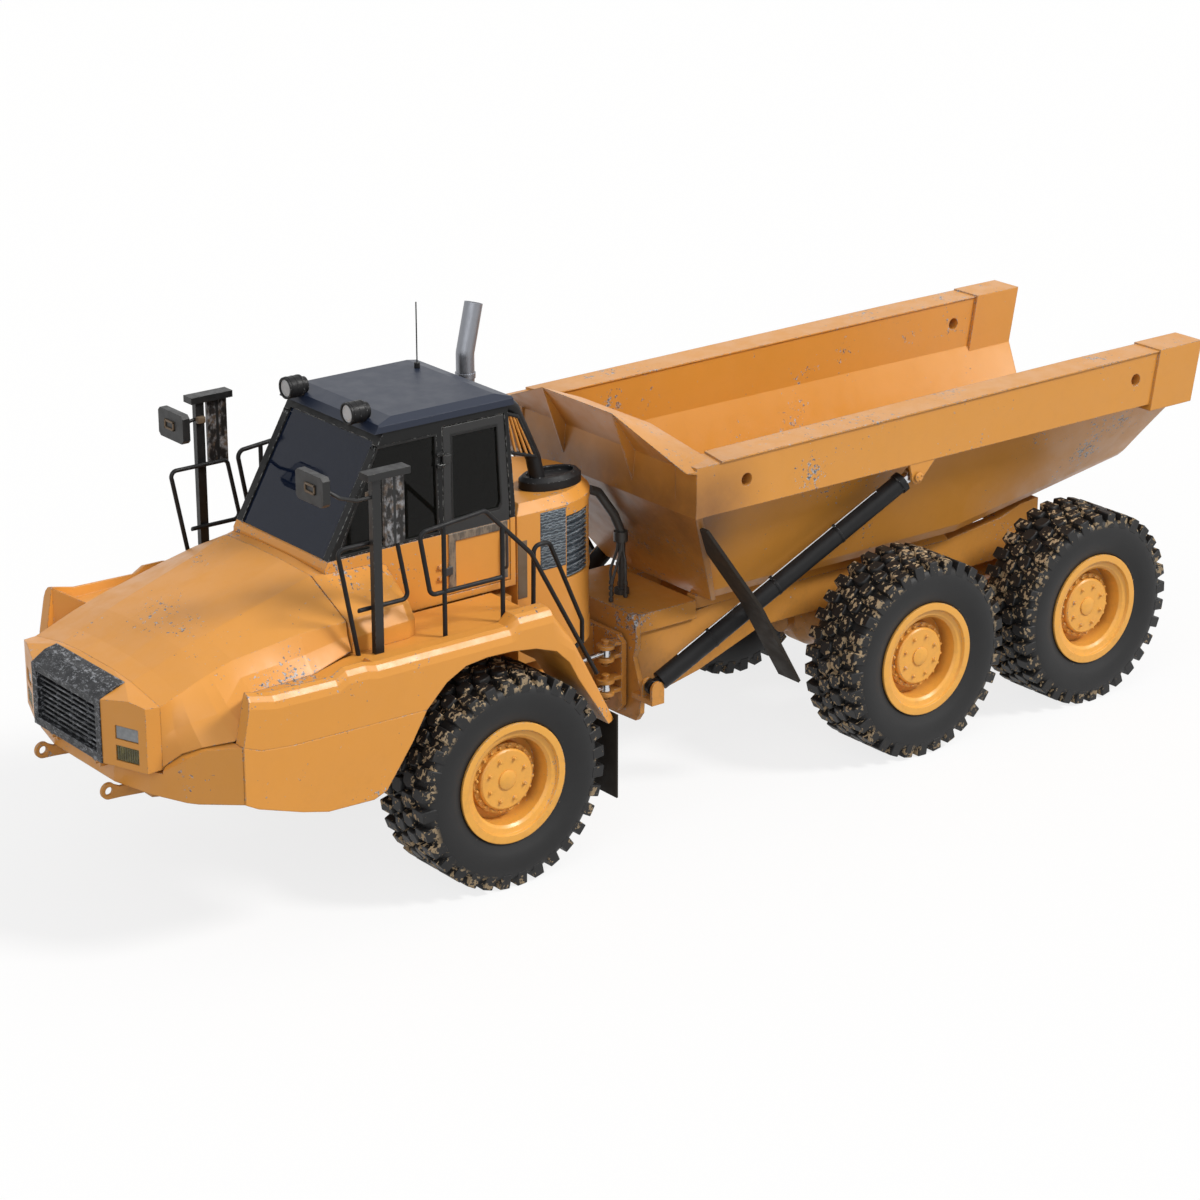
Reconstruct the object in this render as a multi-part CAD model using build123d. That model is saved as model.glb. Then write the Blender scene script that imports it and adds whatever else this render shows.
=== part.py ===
from build123d import *
import math
import os

# Articulated six-wheel dump truck. X runs forward, Y to the left, Z up from the ground.
# Lengths are millimetres and angles are degrees.

# Wheels and axles
TYRE_RADIUS = 810
TYRE_WIDTH = 595
TRACK = 2288
RIM_SEAT_RADIUS = 395
RIM_FLANGE_RADIUS = 459
RIM_WIDTH = 524
DISH_RADIUS = 332
HUB_FLANGE_RADIUS = 268
HUB_CAP_RADIUS = 232
HUB_BORE_RADIUS = 90
TREAD_HEIGHT = 42
LUG_COUNT = 32
LUG_LENGTH = 92
AXLE_TUBE_RADIUS = 150
DIFFERENTIAL_RADIUS = 265
FRONT_AXLE_X = 2180
MID_AXLE_X = -1850
TANDEM_GAP = 240
REAR_AXLE_X = MID_AXLE_X - 2 * TYRE_RADIUS - TANDEM_GAP

# The chassis is drawn with its axles at this height, and is raised or lowered to suit the tyres
AXLE_Z = 810

# Hitch and steering cylinders
PIVOT_X = 930
PIVOT_Z = 935
PIVOT_PIN_RADIUS = 60
LUG_SPREAD = 570
LUG_THICKNESS = 90
OSCILLATION_RADIUS = 175
HITCH_PLATE_X = 430
HITCH_PLATE_HALF_WIDTH = 450
STEER_PIN_X = 595
STEER_PIN_Y = 430
STEER_ANCHOR_X = 1830
STEER_ANCHOR_Y = 580
STEER_LEVELS = (867, 1148)
STEER_BARREL_RADIUS = 46
STEER_ROD_RADIUS = 22
STEER_PIN_RADIUS = 25
STEER_INWARD = 410

# Tractor frame and front end
FRAME_RAIL_Y = 400
FRAME_RAIL_WIDTH = 100
FRAME_TOP_Z = 1317
ENGINE_BOTTOM_Z = 960
NOSE_REACH = 2800
NOSE_LOW_Z = 1382
GRILLE_X = FRONT_AXLE_X + NOSE_REACH
HOOD_FRONT_X = GRILLE_X - 243
NOSE_CORNER_X = GRILLE_X - 137
HEADER_X = GRILLE_X - 200
HOOD_HINGE_X = GRILLE_X - 50
HOOD_HINGE_Z = 1352
HOOD_WALL = 30
GRILLE_HALF_WIDTH = 470
GRILLE_BARS = 9
TOW_EYE_X = GRILLE_X - 33
TOW_EYE_Z = 1164
TOW_EYE_HOLE = 30
TOW_EYE_THICKNESS = 24
SKIRT_FRONT_X = GRILLE_X - 560
SKIRT_INNER_Y = 1020
SEAM_Z = 1562
COWL_FRONT_X = FRONT_AXLE_X + 1135
COWL_HALF_WIDTH = 1055
FENDER_OUTER_Y = 1400
FENDER_INNER_Y = 640
DECK_Z = 1965

# Cab and what stands round it
CAB_HALF_WIDTH = 600
CAB_REAR_X = 1560
CAB_FRONT_X = 3220
CAB_FLOOR_Z = 1960
CAB_SILL_Z = 2486
CAB_ROOF_Z = 3345
CAB_WALL = 45
WINDSCREEN_LOW_Z = 2436
DOOR_HINGE_X = FRONT_AXLE_X + 15
DOOR_HINGE_Y = CAB_HALF_WIDTH + 13
DOOR_HINGE_LEVELS = (2200, 3050)
GLASS_THICKNESS = 8
RAIL_TUBE_RADIUS = 17
RAIL_Y = 1182
MIRROR_POST_Y = 1147
TOWER_CENTRE_X = 1170
TOWER_RADIUS = 600
TOWER_TOP_Z = 2550
LOUVRE_PITCH = 35

# Dump body, hoists and rear frame
TIP_PIVOT_X = REAR_AXLE_X - 60
TIP_PIVOT_Z = 1300
TAIL_OVERHANG = 1297
TAIL_X = REAR_AXLE_X - TAIL_OVERHANG
BODY_HALF_WIDTH = 1200
BODY_PLATE = 30
BODY_FLOOR_Z = 1430
BODY_FRONT_X = 345
BEND_X = 350
RAIL_LOW_Z = 2370
RAIL_INNER_Y = BODY_HALF_WIDTH - 250
LIP_X = 540
LIP_Z = 3040
LIFT_HOLES = ((-137, 2587), (TAIL_X + 741, 2608))
LIFT_HOLE_RADIUS = 50
REAR_FRAME_Y = 450
REAR_FRAME_WIDTH = 100
REAR_FRAME_TOP_Z = 1335
DECK_BOX_Z = 1420
BEAM_PIVOT_X = (MID_AXLE_X + REAR_AXLE_X) / 2
BEAM_PIVOT_Z = 880
HOIST_LOW = (390, 750, 915)
HOIST_HIGH = (-1880, BODY_HALF_WIDTH - 88, 2257)
HOIST_BARREL_RADIUS = 75
HOIST_ROD_RADIUS = 48
HOIST_PIN_RADIUS = 24
HOIST_BALL_RADIUS = 42

# Clearances
SEAT_GAP = 0.3
PIN_GAP = 0.05
PANEL_GAP = 8


def box(x, y, z):
    """Block between low and high limits on each axis."""
    size = Box(x[1] - x[0], y[1] - y[0], z[1] - z[0])
    return Pos((x[0] + x[1]) / 2, (y[0] + y[1]) / 2, (z[0] + z[1]) / 2) * size


def plate_y(points, low, high):
    """Outline in x and z, carried across from y low to y high."""
    outline = Face(Wire.make_polygon([(x, low, z) for x, z in points]))
    return extrude(outline, amount=high - low, dir=(0, 1, 0))


def plate_x(points, low, high):
    """Outline in y and z, carried along from x low to x high."""
    outline = Face(Wire.make_polygon([(low, y, z) for y, z in points]))
    return extrude(outline, amount=high - low, dir=(1, 0, 0))


def plate_z(points, low, high):
    """Outline in x and y, carried up from z low to z high."""
    outline = Face(Wire.make_polygon([(x, y, low) for x, y in points]))
    return extrude(outline, amount=high - low, dir=(0, 0, 1))


def rod(start, end, radius):
    """Round bar between two points."""
    run = Vector(*end) - Vector(*start)
    bar = Cylinder(radius, run.length, align=(Align.CENTER, Align.CENTER, Align.MIN))
    return Plane(origin=start, z_dir=run) * bar


def cross_rod(x, z, low, high, radius):
    """Round bar that lies across the truck."""
    return rod((x, low, z), (x, high, z), radius)


def tube(points, radius, bend):
    """Bent round tube through the points."""
    path = FilletPolyline(*points, radius=bend)
    start = Plane(origin=points[0], z_dir=Vector(*points[1]) - Vector(*points[0]))
    return sweep(start * Circle(radius), path=path)


def other_side(shape):
    """The same piece on the truck's right."""
    return mirror(shape, about=Plane.XZ)


def both_sides(shape):
    return shape + other_side(shape)


def mirrored(half_line):
    """Closed outline from the points of its left half, listed from the bottom up."""
    return half_line + [(-y, z) for y, z in reversed(half_line)]


def section(x, points):
    """Outline in y and z that stands across the truck at x."""
    return Face(Wire.make_polygon([(x, y, z) for y, z in points]))


def span(sections):
    """Straight-sided skin through cross sections."""
    return loft(sections, ruled=True)


def fa(x):
    """Place along the truck, measured ahead of the front axle."""
    return FRONT_AXLE_X + x


def nose(x):
    """Place along the truck, measured back from the face of the grille."""
    return GRILLE_X - x


def between(low, high, share):
    return low + share * (high - low)


def inset_plate(points, gap, low, high):
    """Plate that fits in the opening with the same outline, with a gap all round."""
    outline = Face(Wire.make_polygon([(x, low, z) for x, z in points]))
    inner = offset(outline, amount=-gap, kind=Kind.INTERSECTION)
    return extrude(inner, amount=high - low, dir=(0, 1, 0))


def turned(profile):
    """Body of revolution about a Y axis, from radius and offset pairs."""
    outline = Face(Wire.make_polygon([(radius, offset, 0) for radius, offset in profile]))
    return revolve(outline, axis=Axis.Y)


def write(shape, name):
    """File of a chassis piece, at the height that the tyres give it."""
    export_step(Pos(0, 0, TYRE_RADIUS - AXLE_Z) * shape, "parts/" + name + ".step")


os.makedirs("parts", exist_ok=True)

# Tyres: equal slices round the wheel, each with one lug on one edge and two halves on the other
# The outer face is +Y and the centre is the origin
half = TYRE_WIDTH / 2
tread_root = TYRE_RADIUS - TREAD_HEIGHT
rim_edge = RIM_WIDTH / 2
bead = RIM_SEAT_RADIUS + SEAT_GAP
slice_turn = 360 / LUG_COUNT
lug_turn = math.degrees(math.asin(LUG_LENGTH / 2 / TYRE_RADIUS))
corner_radius = TYRE_RADIUS / math.cos(math.radians(slice_turn / 2 - lug_turn))
lug_top = math.sqrt(corner_radius ** 2 - (LUG_LENGTH / 2) ** 2)
half_profile = [
    (bead, rim_edge - 36), (RIM_FLANGE_RADIUS + 8, rim_edge - 30), (TYRE_RADIUS - 185, half),
    (tread_root, half - 52)]
tyre_profile = half_profile + [(radius, -offset) for radius, offset in reversed(half_profile)]
lug_profile = [(tread_root - 75, 40), (lug_top, 40), (lug_top, half - 34), (tread_root - 75, half - 8)]


def tread_block(profile, width):
    outline = Face(Wire.make_polygon([(radius, offset, 0) for radius, offset in profile]))
    return extrude(outline, amount=width / 2, dir=(0, 0, 1), both=True)


wedge_reach = 2 * TYRE_RADIUS * math.tan(math.radians(slice_turn / 2))
wedge = plate_z(
    [(0, -half), (0, half), (2 * TYRE_RADIUS, half), (2 * TYRE_RADIUS, -half)], -wedge_reach, wedge_reach)
wedge &= Rot(90, 0, 0) * plate_z(
    [(0, 0), (2 * TYRE_RADIUS, -wedge_reach), (2 * TYRE_RADIUS, wedge_reach)], -half, half)
lug = tread_block(lug_profile, LUG_LENGTH)
tyre_slice = (tread_block(tyre_profile, 4 * LUG_LENGTH) & wedge) + lug
for turn in (-slice_turn / 2, slice_turn / 2):
    tyre_slice += Rot(0, turn, 0) * other_side(lug) & wedge
tyre = Part() + [Rot(0, index * slice_turn, 0) * tyre_slice for index in range(LUG_COUNT)]

# Rims: one turned profile from the hub cap out to the flanges and back inside
rim = turned([
    (0, 176), (HUB_CAP_RADIUS - 12, 176), (HUB_CAP_RADIUS, 164), (HUB_CAP_RADIUS, 132),
    (HUB_FLANGE_RADIUS, 132), (HUB_FLANGE_RADIUS, 66), (DISH_RADIUS - 6, 60), (DISH_RADIUS, 214),
    (DISH_RADIUS + 22, 232), (DISH_RADIUS + 62, 240), (DISH_RADIUS + 70, rim_edge),
    (RIM_FLANGE_RADIUS, rim_edge), (RIM_FLANGE_RADIUS, rim_edge - 20), (RIM_SEAT_RADIUS, rim_edge - 34),
    (RIM_SEAT_RADIUS, -rim_edge + 34), (RIM_FLANGE_RADIUS, -rim_edge + 20),
    (RIM_FLANGE_RADIUS, -rim_edge), (RIM_SEAT_RADIUS - 20, -rim_edge), (RIM_SEAT_RADIUS - 20, 20),
    (AXLE_TUBE_RADIUS + 60, 20), (AXLE_TUBE_RADIUS + 60, 30), (HUB_BORE_RADIUS, 30), (HUB_BORE_RADIUS, 100),
    (0, 100)])

for place, axle_x in (("front", FRONT_AXLE_X), ("mid", MID_AXLE_X), ("rear", REAR_AXLE_X)):
    left = Pos(axle_x, TRACK / 2, AXLE_Z)
    write(left * tyre, place + "_left_tyre")
    write(left * rim, place + "_left_rim")
    write(other_side(left * tyre), place + "_right_tyre")
    write(other_side(left * rim), place + "_right_rim")

# Axles: one turned housing from hub to hub, with the pinion nose across it
hub_end = TRACK / 2 + 12
spindle_radius = HUB_BORE_RADIUS - PIN_GAP
# Columns: radius, distance from the truck's middle
AXLE_HALF = (
    (spindle_radius, TRACK / 2 + 96), (spindle_radius, hub_end), (AXLE_TUBE_RADIUS, hub_end),
    (AXLE_TUBE_RADIUS, 440), (AXLE_TUBE_RADIUS + 60, 340), (DIFFERENTIAL_RADIUS - 45, 190),
    (DIFFERENTIAL_RADIUS, 80))


def axle(axle_x):
    line = [(radius, reach) for radius, reach in AXLE_HALF]
    end = AXLE_HALF[0][1]
    housing = turned([(0, end)] + line + [(radius, -reach) for radius, reach in reversed(line)] + [(0, -end)])
    pinion = rod((axle_x - 330, 0, AXLE_Z), (axle_x + 330, 0, AXLE_Z), 110)
    return Pos(axle_x, 0, AXLE_Z) * housing + pinion


write(axle(FRONT_AXLE_X), "front_axle")
write(axle(MID_AXLE_X) + axle(REAR_AXLE_X), "rear_axles")

# Front frame: two rails, cross members, hitch lugs, steering anchors, tow eyes and cab mounts
rail_in = FRAME_RAIL_Y - FRAME_RAIL_WIDTH / 2
rail_out = FRAME_RAIL_Y + FRAME_RAIL_WIDTH / 2
frame_front_x = nose(380)
frame_rear_x = FRONT_AXLE_X - 640
axle_top_z = AXLE_Z + DIFFERENTIAL_RADIUS + 15
rail = plate_y([
    (frame_rear_x, 560), (frame_rear_x, FRAME_TOP_Z), (fa(900), FRAME_TOP_Z), (nose(1300), 1180),
    (frame_front_x, 1180), (frame_front_x, 1020), (nose(1300), 860), (fa(420), 860), (fa(330), axle_top_z),
    (fa(-330), axle_top_z), (fa(-460), 760), (fa(-560), 560)], rail_in, rail_out)
front_frame = both_sides(rail)
front_frame += box((frame_rear_x - 60, frame_rear_x), (-rail_out, rail_out), (560, FRAME_TOP_Z))
front_frame += box((frame_front_x - 80, frame_front_x), (-rail_in, rail_in), (1030, 1170))
for cross_x in (fa(720), nose(1120)):
    front_frame += box((cross_x - 60, cross_x + 60), (-rail_in, rail_in), (880, ENGINE_BOTTOM_Z - SEAT_GAP))
for low in (PIVOT_Z - LUG_SPREAD / 2 - LUG_THICKNESS, PIVOT_Z + LUG_SPREAD / 2):
    lug_arm = plate_z(
        [(frame_rear_x - 60, -260), (frame_rear_x - 60, 260), (PIVOT_X, 130), (PIVOT_X, -130)],
        low, low + LUG_THICKNESS)
    front_frame += lug_arm + Pos(PIVOT_X, 0, low + LUG_THICKNESS / 2) * Cylinder(130, LUG_THICKNESS)
for side in (-1, 1):
    pin_z = PIVOT_Z + side * LUG_SPREAD / 2
    front_frame += Pos(PIVOT_X, 0, pin_z) * Cylinder(PIVOT_PIN_RADIUS, 2 * LUG_THICKNESS)
anchor_x = (STEER_ANCHOR_X - 30, STEER_ANCHOR_X + 60)
anchor_z = (STEER_LEVELS[0] - 66, STEER_LEVELS[1] + 66)
front_frame += both_sides(box(anchor_x, (rail_out - 20, rail_out + 30), anchor_z))
for level in STEER_LEVELS:
    for step in (-66, 36):
        ear = box(anchor_x, (rail_out, STEER_ANCHOR_Y), (level + step, level + step + 30))
        ear += Pos(STEER_ANCHOR_X, STEER_ANCHOR_Y, level + step + 15) * Cylinder(58, 30)
        front_frame += both_sides(ear)
    front_frame += both_sides(Pos(STEER_ANCHOR_X, STEER_ANCHOR_Y, level) * Cylinder(STEER_PIN_RADIUS, 132))
tow_plate = plate_y([
    (frame_front_x - 200, 1060), (frame_front_x - 200, 1180), (TOW_EYE_X - 90, 1180),
    (TOW_EYE_X, TOW_EYE_Z + 60),
    (TOW_EYE_X, TOW_EYE_Z - 60), (TOW_EYE_X - 90, 1100)], rail_out, rail_out + TOW_EYE_THICKNESS)
tow_place = Pos(TOW_EYE_X, rail_out + TOW_EYE_THICKNESS / 2, TOW_EYE_Z) * Rot(90, 0, 0)
tow_plate += tow_place * Cylinder(60, TOW_EYE_THICKNESS)
tow_plate -= tow_place * Cylinder(TOW_EYE_HOLE, 2 * TOW_EYE_THICKNESS)
front_frame += both_sides(tow_plate)
front_frame += both_sides(box((frame_front_x - 120, frame_front_x), (rail_in, rail_out), (1180, 1300)))
axle_seat = box((fa(-110), fa(110)), (rail_in + 10, rail_out - 10), (AXLE_Z + 60, axle_top_z))
front_frame += both_sides(axle_seat)
for mount_x in (CAB_REAR_X + 120, CAB_FRONT_X - 280):
    post = box((mount_x - 60, mount_x + 60), (rail_in, rail_out), (FRAME_TOP_Z - 120, CAB_FLOOR_Z - SEAT_GAP))
    post += box((mount_x - 50, mount_x + 50), (rail_out, FENDER_INNER_Y - SEAT_GAP), (1840, 1900))
    front_frame += both_sides(post)
steer_room = plate_z([
    (frame_rear_x + 160, rail_out + 1), (frame_rear_x, rail_out - 55), (frame_rear_x - 70, rail_out - 55),
    (frame_rear_x - 70, rail_out + 1)], STEER_LEVELS[0] - 90, STEER_LEVELS[1] + 90)
front_frame -= both_sides(steer_room)
front_frame -= axle(FRONT_AXLE_X)
write(front_frame, "front_frame")

engine = box((fa(620), nose(900)), (-rail_in + 20, rail_in - 20), (ENGINE_BOTTOM_Z, 1760))
write(engine, "engine")

# Hitch: barrel on the two pins, arm, cross plate with steering clevises and the oscillation tube
plate_front_x = HITCH_PLATE_X + 25
plate_back_x = HITCH_PLATE_X - 25
barrel_half = LUG_SPREAD / 2 - 5
hitch = Pos(PIVOT_X, 0, PIVOT_Z) * Cylinder(115, 2 * barrel_half)
hitch += plate_y([
    (PIVOT_X, PIVOT_Z - barrel_half), (PIVOT_X, PIVOT_Z + barrel_half), (PIVOT_X - 150, PIVOT_Z + barrel_half),
    (plate_front_x, PIVOT_Z + 310), (plate_front_x, PIVOT_Z - 310),
    (PIVOT_X - 150, PIVOT_Z - barrel_half)], -100, 100)
hitch_plate = box(
    (plate_back_x, plate_front_x), (-HITCH_PLATE_HALF_WIDTH, HITCH_PLATE_HALF_WIDTH),
    (PIVOT_Z - 315, PIVOT_Z + 315))
hitch += chamfer(hitch_plate.edges().filter_by(Axis.X), 60)
tube_end_x = plate_back_x - 340
hitch += rod((plate_back_x, 0, PIVOT_Z), (tube_end_x, 0, PIVOT_Z), OSCILLATION_RADIUS)
hitch += rod((tube_end_x, 0, PIVOT_Z), (tube_end_x - 25, 0, PIVOT_Z), OSCILLATION_RADIUS + 40)
for level in STEER_LEVELS:
    for step in (-66, 36):
        ear_z = (level + step, level + step + 30)
        ear = box((plate_front_x, STEER_PIN_X), (STEER_PIN_Y - 70, STEER_PIN_Y + 20), ear_z)
        ear += Pos(STEER_PIN_X, STEER_PIN_Y, level + step + 15) * Cylinder(70, 30)
        pin_end = 80 if step > 0 else -80
        ear += Pos(STEER_PIN_X, STEER_PIN_Y, level + pin_end) * Cylinder(STEER_PIN_RADIUS, 30)
        hitch += both_sides(ear)
for side in (-1, 1):
    bore_z = PIVOT_Z + side * LUG_SPREAD / 2
    hitch -= Pos(PIVOT_X, 0, bore_z) * Cylinder(PIVOT_PIN_RADIUS + PIN_GAP, 2 * LUG_THICKNESS + 10)
write(hitch, "hitch")

# Steering cylinders: two, one above the other, on each side
steer_run = Vector(STEER_PIN_X - STEER_ANCHOR_X, STEER_PIN_Y - STEER_ANCHOR_Y, 0)
steer_length = steer_run.length
steer_place = Plane(origin=(STEER_ANCHOR_X, STEER_ANCHOR_Y, 0), x_dir=steer_run, z_dir=(0, 0, 1))
steer_barrel_end = steer_length - STEER_INWARD - 70
barrels = Part()
rods = Part()
for level in STEER_LEVELS:
    eye = Pos(0, 0, level) * Cylinder(48, 60) - Pos(0, 0, level) * Cylinder(STEER_PIN_RADIUS + PIN_GAP, 70)
    body = rod((66, 0, level), (steer_barrel_end, 0, level), STEER_BARREL_RADIUS)
    body += rod((steer_barrel_end - 40, 0, level), (steer_barrel_end, 0, level), STEER_BARREL_RADIUS + 6)
    body -= rod((80, 0, level), (steer_barrel_end + 10, 0, level), STEER_ROD_RADIUS + PIN_GAP)
    neck = box((30, 80), (-24, 24), (level - 28, level + 28))
    neck -= Pos(0, 0, level) * Cylinder(STEER_PIN_RADIUS + 5, 70)
    barrels += eye + neck + body
    bar = rod((steer_barrel_end - 270, 0, level), (steer_length - 30, 0, level), STEER_ROD_RADIUS)
    rods += bar + Pos(steer_length, 0, level) * Cylinder(44, 60)
write(steer_place * barrels, "left_steering_barrels")
write(other_side(steer_place * barrels), "right_steering_barrels")
write(steer_place * rods, "left_steering_rods")
write(other_side(steer_place * rods), "right_steering_rods")

# Rear frame: front plate round the oscillation tube, deep side rails, deck box and pivot tube
frame_plate_x = plate_back_x - 20
half_plate = plate_x([
    (0, 560), (300, 560), (540, 570), (590, 640), (600, 820), (505, 1080), (540, 1180), (540, 1330),
    (480, DECK_BOX_Z), (0, DECK_BOX_Z)], frame_plate_x - 45, frame_plate_x)
rear_frame = both_sides(half_plate)
rear_rail_in = REAR_FRAME_Y - REAR_FRAME_WIDTH / 2
rear_rail_out = REAR_FRAME_Y + REAR_FRAME_WIDTH / 2
rail = plate_y([
    (frame_plate_x - 40, 690), (frame_plate_x - 40, 1270), (-420, REAR_FRAME_TOP_Z),
    (BEAM_PIVOT_X - 120, REAR_FRAME_TOP_Z), (TIP_PIVOT_X + 270, 1400), (TIP_PIVOT_X + 70, 1470),
    (TIP_PIVOT_X - 150, 1490), (TIP_PIVOT_X - 150, 1150), (TIP_PIVOT_X + 370, 1040), (-900, 1040),
    (-270, 820)], rear_rail_in, rear_rail_out)
rear_frame += both_sides(rail)
rear_frame += box((frame_plate_x - 600, frame_plate_x - 40), (-530, 530), (1270, DECK_BOX_Z))
rear_frame += box((tube_end_x + 20, tube_end_x + 70), (-rear_rail_in, rear_rail_in), (690, 1270))
for cross_x in (-700, BEAM_PIVOT_X):
    rear_frame += cross_rod(cross_x, 1180, -rear_rail_in, rear_rail_in, 90)
rear_frame += cross_rod(TIP_PIVOT_X, TIP_PIVOT_Z, -rear_rail_in, rear_rail_in, 85)
hanger = plate_y([
    (BEAM_PIVOT_X + 100, 1045), (BEAM_PIVOT_X - 100, 1045), (BEAM_PIVOT_X - 60, BEAM_PIVOT_Z),
    (BEAM_PIVOT_X + 60, BEAM_PIVOT_Z)], rear_rail_in, rear_rail_out)
rear_frame += both_sides(hanger)
rear_frame += cross_rod(BEAM_PIVOT_X, BEAM_PIVOT_Z, -rear_rail_out, rear_rail_out, 70)
low_x, low_y, low_z = HOIST_LOW
for ear_y in (low_y - 70, low_y + 45):
    ear = box((low_x - 60, low_x + 60), (ear_y, ear_y + 25), (low_z - 100, low_z))
    ear += cross_rod(low_x, low_z, ear_y, ear_y + 25, 60)
    rear_frame += both_sides(ear)
foot = box((low_x - 60, frame_plate_x), (rear_rail_out - 40, low_y + 70), (low_z - 125, low_z - 80))
foot += box((low_x - 60, low_x + 60), (low_y - 175, low_y + 70), (low_z - 125, low_z - 80))
rear_frame += both_sides(foot + cross_rod(low_x, low_z, low_y - 60, low_y + 60, HOIST_PIN_RADIUS))
rear_frame += both_sides(Pos(*HOIST_LOW) * Sphere(HOIST_BALL_RADIUS))
rear_frame -= rod((plate_front_x, 0, PIVOT_Z), (tube_end_x - 10, 0, PIVOT_Z), OSCILLATION_RADIUS + PIN_GAP)
for axle_x in (MID_AXLE_X, REAR_AXLE_X):
    block = box((axle_x - 100, axle_x + 100), (rear_rail_in + 10, rear_rail_out - 10), (AXLE_Z + 60, 1160))
    rear_frame += both_sides(block)
    rear_frame -= axle(axle_x)
write(rear_frame, "rear_frame")

beam = plate_y([
    (MID_AXLE_X + 120, 700), (MID_AXLE_X + 120, 900), (BEAM_PIVOT_X + 180, 950),
    (BEAM_PIVOT_X, BEAM_PIVOT_Z + 100),
    (BEAM_PIVOT_X - 180, 950), (REAR_AXLE_X - 120, 900), (REAR_AXLE_X - 120, 700)],
    rear_rail_out + SEAT_GAP, rear_rail_out + 90)
for axle_x in (MID_AXLE_X, REAR_AXLE_X):
    beam += cross_rod(axle_x, AXLE_Z, rear_rail_out + SEAT_GAP, rear_rail_out + 90, 215)
    beam -= axle(axle_x)
write(both_sides(beam), "walking_beams")

# Hoists: barrel on a ball low on the rear frame, rod eye at the body's side bracket
hoist_run = Vector(*HOIST_HIGH) - Vector(*HOIST_LOW)
hoist_length = hoist_run.length
hoist_place = Plane(origin=HOIST_LOW, x_dir=hoist_run, z_dir=hoist_run.cross(Vector(0, 1, 0)))
barrel_end = hoist_length - 85
barrel = rod((75, 0, 0), (barrel_end, 0, 0), HOIST_BARREL_RADIUS)
barrel += rod((barrel_end - 50, 0, 0), (barrel_end, 0, 0), HOIST_BARREL_RADIUS + 9)
barrel += box((30, 90), (-25, 25), (-40, 40)) + Rot(90, 0, 0) * Cylinder(58, 50)
barrel -= rod((110, 0, 0), (barrel_end + 10, 0, 0), HOIST_ROD_RADIUS + PIN_GAP)
barrel -= Sphere(HOIST_BALL_RADIUS + PIN_GAP)
hoist_barrel = hoist_place * barrel
hoist_rod = rod((115, 0, 0), (hoist_length - 40, 0, 0), HOIST_ROD_RADIUS)
hoist_rod = hoist_place * (hoist_rod + Rot(90, 0, 0) * Pos(hoist_length, 0, 0) * Cylinder(52, 50))
write(hoist_barrel, "left_hoist_barrel")
write(other_side(hoist_barrel), "right_hoist_barrel")
write(hoist_rod, "left_hoist_rod")
write(other_side(hoist_rod), "right_hoist_rod")

# Dump body: trough lofted through three sections, front wall with spill lip, capped side rails
# Columns: x, floor z, floor half width, low knee y and z, high knee y and z, slope top y, rail top z
SECTIONS = (
    (BODY_FRONT_X, BODY_FLOOR_Z, 560, 650, 1465, 700, 1540, BODY_HALF_WIDTH - 200, 2765),
    (BEAM_PIVOT_X - 40, BODY_FLOOR_Z, 560, 650, 1465, 700, 1540, BODY_HALF_WIDTH - 200, 2785),
    (TAIL_X, 1700, 450, 530, 1722, 585, 1770, BODY_HALF_WIDTH - 90, 2808))
outer_faces = []
for x, floor_z, floor_y, knee_y, knee_z, bend_y, bend_z, slope_y, top_z in SECTIONS:
    outer_faces.append(section(x, mirrored([
        (floor_y, floor_z), (knee_y, knee_z), (bend_y, bend_z), (slope_y, RAIL_LOW_Z),
        (BODY_HALF_WIDTH, RAIL_LOW_Z), (BODY_HALF_WIDTH, top_z), (RAIL_INNER_Y, top_z),
        (RAIL_INNER_Y, RAIL_LOW_Z + 15), (bend_y - BODY_PLATE, bend_z + 10), (knee_y - 20, knee_z + BODY_PLATE),
        (floor_y, floor_z + BODY_PLATE)])))
body_reach = BODY_HALF_WIDTH + 100
wall_cut = plate_y([
    (BODY_FRONT_X + 500, 1300), (-360, 1300), (BEND_X - 5, RAIL_LOW_Z), (BEND_X - 5, 2900),
    (BODY_FRONT_X + 500, 2900)], -body_reach, body_reach)
tail_cut = plate_y(
    [(TAIL_X, 2825), (TAIL_X + 213, 1640), (TAIL_X - 300, 1640), (TAIL_X - 300, 2825)], -body_reach, body_reach)
rail_end_x = TAIL_X + 487
tail_block = plate_y(
    [(rail_end_x, 2822), (TAIL_X, 2822), (TAIL_X + 93, 2318), (TAIL_X + 571, 2318)],
    RAIL_INNER_Y - 25, BODY_HALF_WIDTH + 20)
dump_body = span(outer_faces) - wall_cut + both_sides(tail_block) - tail_cut
# Columns: half width, lip x and z, crease x, flange x and z
WALL_SECTIONS = ((BODY_HALF_WIDTH, 450, 2745, 335, 110, 2735), (430, LIP_X, LIP_Z, 320, 170, 2895))
wall_faces = []
for side, rows in ((-1, WALL_SECTIONS), (1, WALL_SECTIONS[::-1])):
    for y, lip_x, lip_z, crease_x, flange_x, flange_z in rows:
        wall_faces.append(Face(Wire.make_polygon([(x, side * y, z) for x, z in (
            (lip_x, lip_z), (crease_x, 2712), (BEND_X, RAIL_LOW_Z), (-260, 1440), (-305, 1440),
            (BEND_X - 55, RAIL_LOW_Z + 20), (BEND_X - 60, 2600), (flange_x, flange_z))])))
front_wall = span(wall_faces)
front_wall &= plate_x([
    (-BODY_HALF_WIDTH, 3200), (BODY_HALF_WIDTH, 3200), (BODY_HALF_WIDTH, RAIL_LOW_Z), (650, 1430), (-650, 1430),
    (-BODY_HALF_WIDTH, RAIL_LOW_Z)], -400, 700)
dump_body += front_wall
dump_body += both_sides(plate_y([(LIP_X, LIP_Z), (300, 2700), (BEND_X - 10, 2480)], 422, 438))
cap_out = BODY_HALF_WIDTH + 14
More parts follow.
